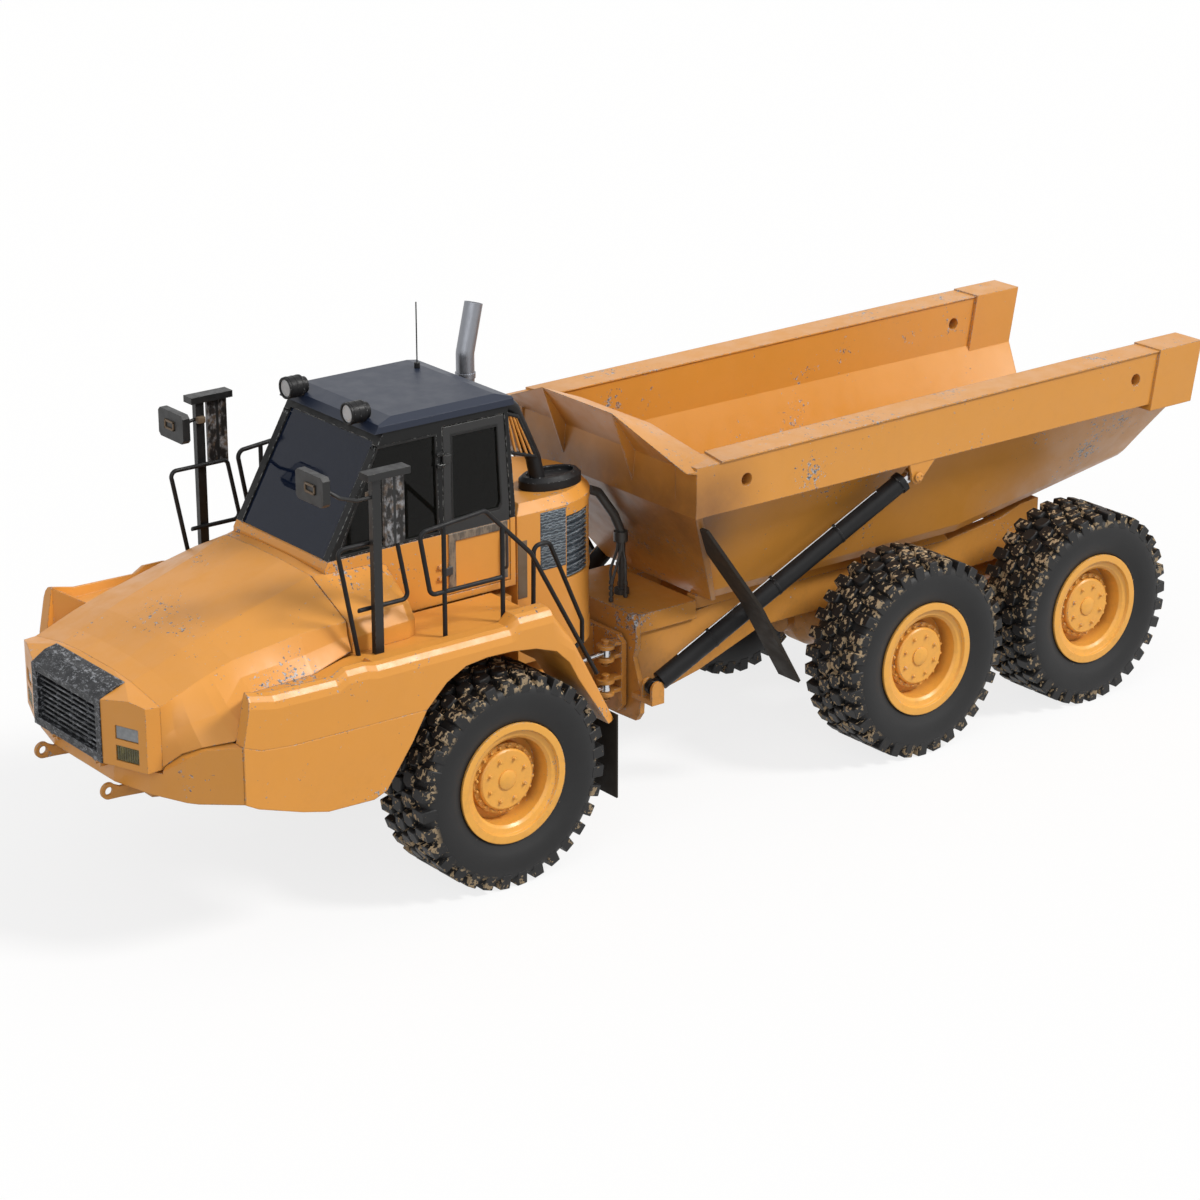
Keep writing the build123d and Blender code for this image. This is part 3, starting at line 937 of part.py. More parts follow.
# Mirrors: post, top bracket with a wide hanging mirror, and a second head on a bent arm
post = box((fa(935), fa(1005)), (MIRROR_POST_Y - 24, MIRROR_POST_Y + 24), (1900, 3265))
bracket = box((fa(705), fa(1058)), (MIRROR_POST_Y - 55, MIRROR_POST_Y + 55), (3240, 3290))
hanger = box((fa(735), fa(900)), (MIRROR_POST_Y - 12, MIRROR_POST_Y + 16), (2740, 3240))
arm = tube([
    (fa(990), MIRROR_POST_Y, 3110), (fa(1100), MIRROR_POST_Y - 20, 3100), (fa(1200), 1060, 3120),
    (fa(1300), 980, 3200)], 13, 50)
head = box((fa(1285), fa(1345)), (740, 1080), (3075, 3290))
head = chamfer(head.edges().filter_by(Axis.X), 25)
mirror_set = post + bracket + hanger + arm + head
mirror_set -= Pos(0, 0, SEAT_GAP) * rail_foot
write(both_sides(mirror_set), "mirrors")

# Hydraulic riser on the rear frame's deck
riser = rod((140, 50, DECK_BOX_Z - 20), (140, 50, 1860), 28)
riser += Pos(140, 50, DECK_BOX_Z + 20) * Cylinder(60, 40)
riser += Pos(150, 50, 1890) * Cylinder(56, 80)
riser += tube([(145, 50, 1920), (215, 50, 2075), (370, 50, 2290), (460, 50, 2330)], 36, 60)
write(riser - rear_frame, "hydraulic_riser")
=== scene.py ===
import math
import random

import bmesh
import bpy
from mathutils import Matrix, Vector


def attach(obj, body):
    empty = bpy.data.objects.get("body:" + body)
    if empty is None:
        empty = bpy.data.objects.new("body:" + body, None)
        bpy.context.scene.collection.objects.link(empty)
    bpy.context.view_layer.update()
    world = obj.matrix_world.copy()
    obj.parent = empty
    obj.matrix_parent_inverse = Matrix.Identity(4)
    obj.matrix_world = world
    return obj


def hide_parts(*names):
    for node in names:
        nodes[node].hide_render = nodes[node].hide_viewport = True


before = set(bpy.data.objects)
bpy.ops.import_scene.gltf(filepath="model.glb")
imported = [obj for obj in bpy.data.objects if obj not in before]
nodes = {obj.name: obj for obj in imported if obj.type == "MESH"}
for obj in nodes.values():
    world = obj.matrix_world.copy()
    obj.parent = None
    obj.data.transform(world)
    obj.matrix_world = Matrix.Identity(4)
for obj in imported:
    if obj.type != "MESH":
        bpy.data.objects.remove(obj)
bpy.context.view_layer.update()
scene = bpy.context.scene
random.seed(7)

# Places, in metres. X runs forward, Y to the left, Z up from the ground
AXLE_X = {"front": 2.180, "mid": -1.850, "rear": -3.710}
AXLE_Z = 0.810
TRACK = 2.288
SIDES = {"left": 1, "right": -1}
FRONT_X = AXLE_X["front"]
SILL_Z = 2.486
CAB_SIDE_Y = 0.600
HOIST_LOW = Vector((0.390, 0.750, 0.915))
HOIST_HIGH = Vector((-1.880, 1.112, 2.257))

# Camera, light and white surroundings

camera_data = bpy.data.cameras.new("camera")
camera_data.sensor_width = 36
camera_data.lens = 101.63
camera_data.clip_end = 200
camera = bpy.data.objects.new("camera", camera_data)
scene.collection.objects.link(camera)
azimuth = math.radians(142.232)
elevation = math.radians(20.1677)
toward_camera = Vector((
    math.sin(azimuth) * math.cos(elevation),
    -math.cos(azimuth) * math.cos(elevation),
    math.sin(elevation)))
camera.location = (13.2068683 + FRONT_X, 19.45498662, 10.42435599)
camera.rotation_mode = "QUATERNION"
camera.rotation_quaternion = (-toward_camera).to_track_quat("-Z", "Y")
scene.camera = camera
scene.view_settings.view_transform = "Standard"


def soft_light(name, direction, spread, level, tint=(1, 1, 1)):
    """Distant lamp. At level 1 a surface that faces it shows its own colour."""
    data = bpy.data.lights.new(name, "SUN")
    data.angle = math.radians(spread)
    data.energy = math.pi * level
    data.color = tint
    lamp = bpy.data.objects.new(name, data)
    lamp.rotation_mode = "QUATERNION"
    lamp.rotation_quaternion = Vector(direction).to_track_quat("Z", "Y")
    lamp.location = Vector(direction) * 12
    scene.collection.objects.link(lamp)


soft_light("key", (-0.46, 0.56, 0.70), 14, 0.80, (1, 0.985, 0.96))
soft_light("fill", (0.70, 0.55, 0.46), 60, 0.32, (0.97, 0.985, 1))

def seen_rays(tree):
    """One for rays from the camera, or by way of a gloss or a pane, zero for light that lands."""
    path = tree.nodes.new("ShaderNodeLightPath")
    seen = path.outputs["Is Camera Ray"]
    for ray in ("Is Glossy Ray", "Is Transmission Ray"):
        either = tree.nodes.new("ShaderNodeMath")
        either.operation = "MAXIMUM"
        tree.links.new(seen, either.inputs[0])
        tree.links.new(path.outputs[ray], either.inputs[1])
        seen = either.outputs[0]
    return seen


AMBIENT = 0.40
world = bpy.data.worlds.new("studio")
world.use_nodes = True
background = world.node_tree.nodes["Background"]
background.inputs["Color"].default_value = (1, 1, 1, 1)
strength = world.node_tree.nodes.new("ShaderNodeMapRange")
strength.inputs["To Min"].default_value = AMBIENT
world.node_tree.links.new(seen_rays(world.node_tree), strength.inputs["Value"])
world.node_tree.links.new(strength.outputs[0], background.inputs["Strength"])
scene.world = world

# Material building


class Recipe:
    """One procedural material. Textures use the model's own coordinates, in metres."""

    def __init__(self, name):
        self.material = bpy.data.materials.new(name)
        self.material.use_nodes = True
        self.tree = self.material.node_tree
        self.tree.nodes.clear()
        self.output = self.tree.nodes.new("ShaderNodeOutputMaterial")
        self.shader = self.tree.nodes.new("ShaderNodeBsdfPrincipled")
        self.tree.links.new(self.shader.outputs[0], self.output.inputs[0])
        self.place = self.tree.nodes.new("ShaderNodeTexCoord").outputs["Object"]

    def feed(self, value, socket):
        if isinstance(value, bpy.types.NodeSocket):
            self.tree.links.new(value, socket)
        else:
            socket.default_value = value

    def set(self, name, value):
        self.feed(value, self.shader.inputs[name])

    def stretched(self, scale, turn=(0, 0, 0)):
        node = self.tree.nodes.new("ShaderNodeMapping")
        self.feed(self.place, node.inputs["Vector"])
        node.inputs["Scale"].default_value = scale
        node.inputs["Rotation"].default_value = turn
        return node.outputs[0]

    def noise(self, scale, detail=3, rough=0.55, place=None, shift=0.0):
        node = self.tree.nodes.new("ShaderNodeTexNoise")
        node.noise_dimensions = "4D"
        node.inputs["W"].default_value = shift
        self.feed(place or self.place, node.inputs["Vector"])
        node.inputs["Scale"].default_value = scale
        node.inputs["Detail"].default_value = detail
        node.inputs["Roughness"].default_value = rough
        return node.outputs["Fac"]

    def waves(self, scale, distortion, direction="Z", detail=2):
        node = self.tree.nodes.new("ShaderNodeTexWave")
        node.bands_direction = direction
        self.feed(self.place, node.inputs["Vector"])
        node.inputs["Scale"].default_value = scale
        node.inputs["Distortion"].default_value = distortion
        node.inputs["Detail"].default_value = detail
        node.inputs["Detail Scale"].default_value = 2.5
        return node.outputs["Fac"]

    def steps(self, value, low, high, start=0.0, end=1.0):
        node = self.tree.nodes.new("ShaderNodeMapRange")
        node.interpolation_type = "SMOOTHSTEP"
        self.feed(value, node.inputs["Value"])
        node.inputs["From Min"].default_value = low
        node.inputs["From Max"].default_value = high
        node.inputs["To Min"].default_value = start
        node.inputs["To Max"].default_value = end
        return node.outputs[0]

    def sum(self, operation, first, second=0.0, third=0.0):
        node = self.tree.nodes.new("ShaderNodeMath")
        node.operation = operation
        for value, socket in zip((first, second, third), node.inputs):
            self.feed(value, socket)
        return node.outputs[0]

    def within(self, value, low, high):
        above = self.sum("GREATER_THAN", value, low)
        return self.sum("MULTIPLY", above, self.sum("LESS_THAN", value, high))

    def blend(self, factor, first, second):
        node = self.tree.nodes.new("ShaderNodeMix")
        node.data_type = "RGBA"
        self.feed(factor, node.inputs["Factor"])
        colours = [socket for socket in node.inputs if socket.type == "RGBA"]
        for value, socket in zip((first, second), colours):
            self.feed(value + (1,) if isinstance(value, tuple) else value, socket)
        return [socket for socket in node.outputs if socket.type == "RGBA"][0]

    def axis(self, letter):
        node = self.tree.nodes.new("ShaderNodeSeparateXYZ")
        self.feed(self.place, node.inputs[0])
        return node.outputs[letter]

    def edges(self, radius):
        """One along sharp edges, zero on flat faces; also gives the softened normal."""
        bevel = self.tree.nodes.new("ShaderNodeBevel")
        bevel.samples = 4
        bevel.inputs["Radius"].default_value = radius
        flat = self.tree.nodes.new("ShaderNodeNewGeometry").outputs["Normal"]
        dot = self.tree.nodes.new("ShaderNodeVectorMath")
        dot.operation = "DOT_PRODUCT"
        self.feed(bevel.outputs[0], dot.inputs[0])
        self.feed(flat, dot.inputs[1])
        return self.steps(dot.outputs["Value"], 0.995, 0.80), bevel.outputs[0]

    def creases(self, reach):
        """One deep in corners, zero in the open."""
        node = self.tree.nodes.new("ShaderNodeAmbientOcclusion")
        node.samples = 3
        node.inputs["Distance"].default_value = reach
        return self.steps(node.outputs["AO"], 0.75, 0.15)

    def bump(self, height, strength, depth, normal=None):
        node = self.tree.nodes.new("ShaderNodeBump")
        self.feed(height, node.inputs["Height"])
        node.inputs["Strength"].default_value = strength
        node.inputs["Distance"].default_value = depth
        if normal is not None:
            self.feed(normal, node.inputs["Normal"])
        self.set("Normal", node.outputs[0])


PRIMER = (0.40, 0.42, 0.44)


def shade(colour, share, lift=0.0):
    """The colour made darker or lighter."""
    return tuple(min(1, c * share + lift) for c in colour)


def enamel(r, colour, wear, dust):
    """Colour, chip mask, mask of dirt and painted crease shade, and softened normal of sprayed enamel.
    """
    edge, soft = r.edges(0.012)
    faded = r.blend(r.noise(0.9, 4, 0.6), shade(colour, 0.93), shade(colour, 1.05))
    streaks = r.noise(5, 5, 0.65, place=r.stretched((1, 1, 0.12)), shift=2)
    stain_and_shade = (colour[0] * 0.80, colour[1] * 0.72, colour[2] * 1.15)
    tinted = r.blend(r.steps(streaks, 0.5, 0.80, 0, 0.22 * dust + 0.04), faded, stain_and_shade)
    low = r.steps(r.axis("Z"), 1.5, 0.5)
    speckle = r.steps(r.noise(11, 6, 0.72, shift=5), 0.46, 0.70)
    # Painted shade: corners and creases turn dark brown in patches, joined to the dust below
    crease_patches = r.steps(r.noise(6, 4, 0.6, shift=17), 0.25, 0.7, 0.35, 0.85)
    crease_shade = r.sum("MULTIPLY", r.creases(0.10), crease_patches)
    dirt_and_shade = r.sum("MULTIPLY", r.sum("MULTIPLY_ADD", low, 0.6, 0.10), r.sum("MULTIPLY", speckle, dust))
    dirt_and_shade = r.sum("MAXIMUM", dirt_and_shade, r.sum("MULTIPLY", crease_shade, 0.45 + 0.3 * dust))
    # Dust and the painted crease shade share one dark brown
    dusted_and_shaded = r.blend(dirt_and_shade, tinted, (0.23, 0.125, 0.055))
    region = r.noise(1.7, 3, 0.6, shift=12)
    flake = r.sum("MULTIPLY_ADD", region, 0.75, r.noise(30, 5, 0.7, shift=9))
    flake = r.sum("MULTIPLY_ADD", edge, 0.16, flake)
    chip = r.sum("GREATER_THAN", flake, 1.11 - 0.08 * wear)
    bare = r.blend(r.steps(r.noise(60, 4, 0.6, shift=31), 0.44, 0.56), PRIMER, (0.07, 0.075, 0.09))
    return r.blend(chip, dusted_and_shaded, bare), chip, dirt_and_shade, soft


def painted(name, colour, wear=0.5, dust=0.3, rough=0.36, front_shade=False):
    """Sprayed enamel with faded patches, runs of dust, painted shade in its creases and chips that show
    primer at the edges.
    """
    r = Recipe(name)
    colours, chip, dirt_and_shade, soft = enamel(r, colour, wear, dust)
    # Painted shade: the forward, lower part of the tray turns dark brown in patches
    if front_shade:
        ahead = r.sum("MULTIPLY", r.steps(r.axis("X"), -0.42, 0.20), r.steps(r.axis("Z"), 2.98, 2.40))
        stain_and_shade = r.sum("MULTIPLY", ahead, r.steps(r.noise(3, 4, 0.6, shift=6), 0.2, 0.7, 0.55, 0.85))
        colours = r.blend(stain_and_shade, colours, (0.150, 0.062, 0.020))
    r.set("Base Color", colours)
    mottled = r.steps(r.noise(7, 4, 0.6, shift=3), 0.3, 0.75, rough - 0.06, rough + 0.12)
    r.set("Roughness", r.sum("ADD", mottled, r.sum("MULTIPLY", dirt_and_shade, 0.25)))
    r.set("Coat Weight", 0.10)
    r.set("Coat Roughness", 0.25)
    fine = r.sum("MULTIPLY_ADD", r.noise(160, 2, 0.5), 0.12, r.sum("MULTIPLY", chip, -0.6))
    r.bump(fine, 0.35, 0.002, soft)
    return r.material


def door_paint(name, colour):
    """Enamel below the sill with a rubbed frame standing on it, black window frame above."""
    r = Recipe(name)
    colours, chip, _, soft = enamel(r, colour, 0.6, 0.3)
    high = r.sum("GREATER_THAN", r.axis("Z"), SILL_Z - 0.011)
    standing = r.sum("GREATER_THAN", r.axis("Y"), CAB_SIDE_Y + 0.0005)
    proud = r.sum("MULTIPLY", standing, r.sum("SUBTRACT", 1.0, high))
    streaks = r.noise(22, 6, 0.7, place=r.stretched((1, 1, 0.4)), shift=2)
    rubbed = r.blend(r.steps(streaks, 0.40, 0.58), (0.085, 0.070, 0.055), (0.22, 0.17, 0.12))
    handle = r.sum("MULTIPLY", r.sum("GREATER_THAN", r.axis("Y"), CAB_SIDE_Y + 0.0085), proud)
    edge = r.edges(0.004)[0]
    scuff = r.sum("GREATER_THAN", r.sum("MULTIPLY", edge, r.noise(40, 5, 0.7, shift=6)), 0.50)
    black = r.blend(scuff, (0.010, 0.010, 0.010), (0.28, 0.28, 0.27))
    colours = r.blend(proud, colours, rubbed)
    colours = r.blend(handle, colours, (0.030, 0.030, 0.032))
    r.set("Base Color", r.blend(high, colours, black))
    r.set("Roughness", r.steps(r.noise(9, 4, 0.6, shift=3), 0.3, 0.75, 0.36, 0.52))
    fine = r.sum("MULTIPLY_ADD", r.noise(160, 2), 0.12, r.sum("MULTIPLY", chip, -0.6))
    r.bump(fine, 0.35, 0.002, soft)
    return r.material


def black_enamel(name, colour=(0.009, 0.009, 0.0095), rough=0.40, wear=0.4):
    """Black paint flecked white where its edges are rubbed."""
    r = Recipe(name)
    edge, soft = r.edges(0.012)
    flecks = r.noise(34, 5, 0.72)
    worn = r.sum("MULTIPLY", edge, r.steps(flecks, 0.63 - 0.12 * wear, 0.65 - 0.12 * wear))
    rubbed = r.steps(r.noise(60, 5, 0.75, shift=4), 0.68, 0.78, 0, 0.5 * wear)
    base = r.blend(r.noise(3, 4), colour, shade(colour, 1.6))
    r.set("Base Color", r.blend(r.sum("MAXIMUM", worn, rubbed), base, (0.40, 0.41, 0.40)))
    r.set("Roughness", r.steps(r.noise(20, 4, 0.6), 0.3, 0.7, rough - 0.08, rough + 0.15))
    r.set("Specular IOR Level", 0.20)
    r.bump(r.noise(220, 2), 0.25, 0.0008, soft)
    return r.material


def scratched_black(name):
    """Dark surround rubbed by stones: long pale scratches, dense towards its edges."""
    r = Recipe(name)
    edge, soft = r.edges(0.012)
    long_marks = r.noise(34, 6, 0.75, place=r.stretched((1, 0.35, 1), (0.5, 0, 0.4)))
    marks = r.steps(long_marks, 0.545, 0.585)
    spots = r.steps(r.noise(40, 5, 0.72, shift=3), 0.560, 0.600)
    patch = r.steps(r.noise(5, 3, 0.6, shift=7), 0.35, 0.60)
    worn = r.sum("MULTIPLY", r.sum("MAXIMUM", marks, spots), r.sum("MULTIPLY_ADD", patch, 0.70, 0.25))
    rubbed = r.sum("MULTIPLY", edge, r.steps(r.noise(30, 5, 0.7, shift=9), 0.45, 0.55))
    worn = r.sum("MAXIMUM", worn, rubbed)
    base = r.blend(r.noise(6, 4, shift=1), (0.008, 0.0085, 0.010), (0.024, 0.025, 0.028))
    r.set("Base Color", r.blend(worn, base, (0.27, 0.28, 0.30)))
    r.set("Specular IOR Level", 0.30)
    r.set("Roughness", r.steps(r.noise(12, 4), 0.3, 0.7, 0.32, 0.6))
    r.bump(r.sum("MULTIPLY", worn, -1.0), 0.3, 0.001, soft)
    return r.material


def tower_mesh(name):
    """Slate mesh behind the louvres, crossed by thin wavy worn lines."""
    r = Recipe(name)
    edge, soft = r.edges(0.003)
    lines = r.steps(r.waves(14, 5.0), 0.76, 0.94)
    broken = r.steps(r.noise(16, 4, 0.65, shift=2), 0.30, 0.52)
    worn = r.sum("MAXIMUM", r.sum("MULTIPLY", lines, broken), r.sum("MULTIPLY", edge, 0.8))
    base = r.blend(r.noise(8, 4), (0.022, 0.030, 0.040), (0.050, 0.064, 0.080))
    r.set("Base Color", r.blend(worn, base, (0.25, 0.29, 0.32)))
    r.set("Roughness", r.steps(worn, 0.0, 1.0, 0.42, 0.62))
    r.bump(lines, 0.35, 0.003, soft)
    return r.material


# Hanging plates of the mirror arms; x ahead of the front axle
PLATE_X = (0.730, 0.905)
PLATE_MIDDLE_X = (0.806, 0.829)
PLATE_TOP_Z = 3.236


def mirror_black(name):
    """Black posts and heads; the hanging plates show silver and rust where the finish has gone."""
    r = Recipe(name)
    edge, soft = r.edges(0.004)
    along = r.sum("SUBTRACT", r.axis("X"), FRONT_X)
    below = r.sum("LESS_THAN", r.axis("Z"), PLATE_TOP_Z)
    plate = r.sum("MULTIPLY", r.within(along, *PLATE_X), below)
    middle = r.within(along, *PLATE_MIDDLE_X)
    plate = r.sum("MULTIPLY", plate, r.sum("SUBTRACT", 1.0, middle))
    patches = r.noise(13, 4, 0.62, place=r.stretched((1.5, 1, 0.8)))
    silver = r.steps(patches, 0.44, 0.60)
    rust = r.steps(r.noise(22, 5, 0.6, shift=4), 0.42, 0.60)
    worn = r.blend(rust, (0.26, 0.26, 0.27), (0.12, 0.085, 0.060))
    plated = r.blend(silver, (0.020, 0.018, 0.017), worn)
    scuffs = r.sum("MULTIPLY", edge, r.steps(r.noise(30, 5, 0.7, shift=8), 0.52, 0.60))
    black = r.blend(scuffs, (0.010, 0.010, 0.010), (0.24, 0.23, 0.21))
    r.set("Base Color", r.blend(plate, black, plated))
    r.set("Metallic", r.sum("MULTIPLY", plate, 0.35))
    r.set("Roughness", r.steps(patches, 0.3, 0.7, 0.32, 0.5))
    r.set("Specular IOR Level", 0.4)
    r.bump(r.noise(120, 3), 0.25, 0.001, soft)
    return r.material


def bare_metal(name, colour, rough, metal=1.0, grain=(1, 1, 1)):
    """Uncoated metal with faint scuffs along its grain."""
    r = Recipe(name)
    soft = r.edges(0.003)[1]
    scuffs = r.noise(30, 6, 0.7, place=r.stretched(grain))
    r.set("Base Color", r.blend(scuffs, shade(colour, 0.7), colour))
    r.set("Metallic", metal)
    r.set("Roughness", r.steps(scuffs, 0.35, 0.7, rough, rough + 0.2))
    r.bump(scuffs, 0.15, 0.001, soft)
    return r.material


def rubber(name, axle_x):
    """Tyre rubber: smooth grey-black wall and a tread caked with flecks of dry mud."""
    r = Recipe(name)
    along = r.sum("SUBTRACT", r.axis("X"), axle_x)
    up = r.sum("SUBTRACT", r.axis("Z"), AXLE_Z)
    radius = r.sum("SQRT", r.sum("ADD", r.sum("MULTIPLY", along, along), r.sum("MULTIPLY", up, up)))
    tread = r.steps(radius, 0.690, 0.735)
    side = r.sum("ABSOLUTE", r.sum("SUBTRACT", r.sum("ABSOLUTE", r.axis("Y")), TRACK / 2))
    across = r.steps(side, 0.292, 0.262)
    caked = r.sum("MULTIPLY", tread, r.sum("MAXIMUM", across, 0.6))
    flecks = r.noise(21, 5, 0.58, place=r.stretched((1, 1.35, 1)))
    patches = r.noise(4, 3, 0.6, shift=4)
    level = r.sum("MULTIPLY_ADD", patches, 0.45, flecks)
    mud = r.sum("MULTIPLY", caked, r.steps(level, 0.800, 0.815))
    specks = r.steps(r.noise(40, 5, 0.7, shift=8), 0.64, 0.67)
    lip = r.sum("MULTIPLY", r.steps(radius, 0.505, 0.462), specks)
    mud = r.sum("MAXIMUM", mud, lip)
    wall = r.blend(r.noise(6, 5, 0.65, shift=1), (0.0075, 0.0075, 0.0080), (0.015, 0.015, 0.0155))
    film = r.steps(r.noise(13, 5, 0.7, place=r.stretched((1, 0.4, 1)), shift=6), 0.5, 0.8, 0, 0.16)
    dusted_and_shaded = r.blend(r.sum("MULTIPLY", film, tread), wall, (0.11, 0.085, 0.055))
    tan = r.blend(r.noise(50, 3, 0.6), (0.30, 0.205, 0.11), (0.60, 0.46, 0.29))
    r.set("Base Color", r.blend(mud, dusted_and_shaded, tan))
    r.set("Roughness", r.steps(mud, 0, 1, 0.55, 0.92))
    r.set("Specular IOR Level", 0.35)
    height = r.sum("MULTIPLY_ADD", mud, 0.9, r.sum("MULTIPLY", r.noise(120, 3, 0.6), 0.15))
    r.bump(height, 0.5, 0.004)
    return r.material


SCREEN_HALF = 0.54
SCREEN_REAR_X = FRONT_X + 0.40


def glass_with_painted_sky(name):
    """Dark glass, milkier by its frame: a navy painted reflection of a blue sky on the windscreen,
    smoke film on every other pane.
    """
    r = Recipe(name)
    across = r.sum("LESS_THAN", r.sum("ABSOLUTE", r.axis("Y")), SCREEN_HALF)
    screen = r.sum("MULTIPLY", across, r.sum("GREATER_THAN", r.axis("X"), SCREEN_REAR_X))
    # Painted reflection: the windscreen's navy stands for a blue sky mirrored in it
    colour = r.blend(screen, (0.0048, 0.0048, 0.0042), (0.0050, 0.0100, 0.0270))
    border = r.blend(screen, (0.030, 0.032, 0.028), (0.0120, 0.0190, 0.0380))
    r.set("Base Color", r.blend(r.creases(0.16), colour, border))
    r.set("Roughness", r.steps(r.noise(2.5, 4, 0.6), 0.4, 0.7, 0.03, 0.12))
    r.set("Alpha", r.steps(r.noise(9, 4, 0.6, shift=3), 0.3, 0.8, 0.87, 0.93))
    r.set("Specular IOR Level", r.sum("MULTIPLY_ADD", screen, 0.12, 0.14))
    return r.material


def moulded(name, colour, rough=0.55, grain=260, gloss=0.5, scuffed=0.2):
    """Plain moulding with a fine grain and paler scuffs."""
    r = Recipe(name)
    edge, soft = r.edges(0.005)
    base = r.blend(r.noise(2.2, 5, 0.6), shade(colour, 1 - scuffed), shade(colour, 1 + scuffed))
    scuff = r.steps(r.noise(18, 5, 0.7, shift=2), 0.60, 0.75, 0, scuffed)
    worn = r.sum("MAXIMUM", scuff, r.sum("MULTIPLY", edge, 0.30))
    r.set("Base Color", r.blend(worn, base, shade(colour, 2.0, 0.02)))
    spread = 0.05 + 0.6 * scuffed
    r.set("Roughness", r.steps(r.noise(8, 4), 0.3, 0.7, rough - 0.4 * spread, rough + 0.6 * spread))
    r.set("Specular IOR Level", gloss)
    r.bump(r.noise(grain, 2), 0.3, 0.0006, soft)
    return r.material


LAMP_SPLIT_Z = 1.57


def lamp_glass(name):
    """Clear grey reflector above, ribbed olive lens below."""
    r = Recipe(name)
    low = r.sum("LESS_THAN", r.axis("Z"), LAMP_SPLIT_Z)
    edge, soft = r.edges(0.006)
    smudge = r.noise(28, 4, 0.6)
    clear = r.blend(smudge, (0.13, 0.14, 0.15), (0.34, 0.35, 0.36))
    # Painted highlight: the olive lens turns paler along its edges and in patches
    painted_glint = r.sum("MAXIMUM", edge, r.steps(smudge, 0.45, 0.7, 0, 0.6))
    ribbed = r.blend(painted_glint, (0.050, 0.046, 0.018), (0.27, 0.235, 0.085))
    r.set("Base Color", r.blend(low, clear, ribbed))
    r.set("Roughness", r.steps(smudge, 0.3, 0.7, 0.10, 0.28))
    r.bump(r.noise(90, 2), 0.3, 0.001, soft)
    return r.material


def woven(name, colour):
    """Coarse seat cloth: two crossed ribs under a soft nap."""
    r = Recipe(name)
    warp = r.waves(170, 1.0, "Y", 1)
    weft = r.waves(170, 1.0, "X", 1)
    weave = r.sum("MULTIPLY", warp, weft)
    r.set("Base Color", r.blend(weave, shade(colour, 0.6), shade(colour, 1.6)))
    r.set("Roughness", r.steps(r.noise(30, 3), 0.3, 0.7, 0.80, 0.95))
    r.set("Sheen Weight", 0.25)
    r.bump(weave, 0.6, 0.0012)
    return r.material


YELLOW = (0.690, 0.292, 0.046)
paint_body = painted("yellow_enamel", YELLOW, 0.60, 0.22, 0.42)
# The tray's enamel carries painted shade over its front
paint_tray = painted("tray_enamel", (0.655, 0.280, 0.043), 0.85, 0.40, 0.36, front_shade=True)
paint_chassis = painted("chassis_enamel", (0.600, 0.262, 0.046), 0.70, 0.80, 0.46)
paint_wheel = painted("wheel_enamel", (0.800, 0.385, 0.062), 0.15, 0.30)
paint_door = door_paint("door_enamel", YELLOW)
black_steel = black_enamel("black_enamel")
cab_black = black_enamel("cab_black_enamel", (0.0075, 0.0078, 0.0080), 0.36, 0.95)
worn_black = scratched_black("scratched_black")
mirror_finish = mirror_black("mirror_black")
louvre_slate = tower_mesh("tower_slate")
chrome = bare_metal("chromed_rod", (0.72, 0.73, 0.75), 0.12)
exhaust_metal = bare_metal("exhaust_steel", (0.30, 0.31, 0.34), 0.36, 0.9, (1, 1, 0.3))
iron = black_enamel("engine_iron", (0.040, 0.039, 0.037), 0.65, 0.2)
# Painted reflection: the roof's dark blue stands for a blue sky mirrored in it
roof_with_painted_sky = moulded("roof_with_painted_sky", (0.012, 0.018, 0.036), 0.42, 90, 0.38, 0.03)
interior = moulded("interior_plastic", (0.012, 0.012, 0.013), 0.6)
pipe_grey = moulded("pipe_grey", (0.040, 0.037, 0.033), 0.5, 120)
sheet_rubber = moulded("rubber_sheet", (0.017, 0.0125, 0.0085), 0.66, 40, 0.25)
seal_rubber = moulded("seal_rubber", (0.014, 0.014, 0.014), 0.72, 200, 0.3)
seat_cloth = woven("seat_cloth", (0.020, 0.020, 0.023))
cab_panes = glass_with_painted_sky("glass_with_painted_sky")
mirror_glass = bare_metal("mirror_glass", (0.62, 0.64, 0.67), 0.05)
lamp_lens = lamp_glass("lamp_lens")
clear_lens = moulded("clear_lens", (0.42, 0.43, 0.44), 0.16, 30)
slat_grey = moulded("slat_grey", (0.115, 0.140, 0.160), 0.5, 90)
rubbed_steel = moulded("rubbed_steel", (0.130, 0.090, 0.055), 0.5, 60, 0.4, 0.5)

# Columns: material, nodes that take it
LOOKS = (
    (paint_body, "bumper fenders side_skirts cowl cab cooling_tower hood nose"),
    (paint_chassis, "front_frame front_axle hitch rear_frame rear_axles walking_beams"),
    (paint_chassis, "left_steering_barrels right_steering_barrels"),
    (paint_tray, "dump_body"),
    (paint_door, "cab_door"),
    (black_steel, "air_duct aerial work_lights handrails left_hoist_barrel right_hoist_barrel"),
    (cab_black, "cab_frame"),
    (worn_black, "grille"),
    (mirror_finish, "mirrors"),
    (cab_panes, "cab_glass door_glass"),
    (roof_with_painted_sky, "cab_roof"),
    (louvre_slate, "tower_louvres"),
    (interior, "console"),
    (iron, "engine"),
    (sheet_rubber, "front_mudflaps mid_wheel_guards"),
    (lamp_lens, "headlamps"),
    (exhaust_metal, "exhaust"),
    (pipe_grey, "hydraulic_riser"),
    (chrome, "left_steering_rods right_steering_rods left_hoist_rod right_hoist_rod"))


def paint(node, material):
    """The material becomes the node's only one."""
    nodes[node].data.materials.clear()
    nodes[node].data.materials.append(material)


for material, names in LOOKS:
    for node in names.split():
        paint(node, material)

# Mesh building


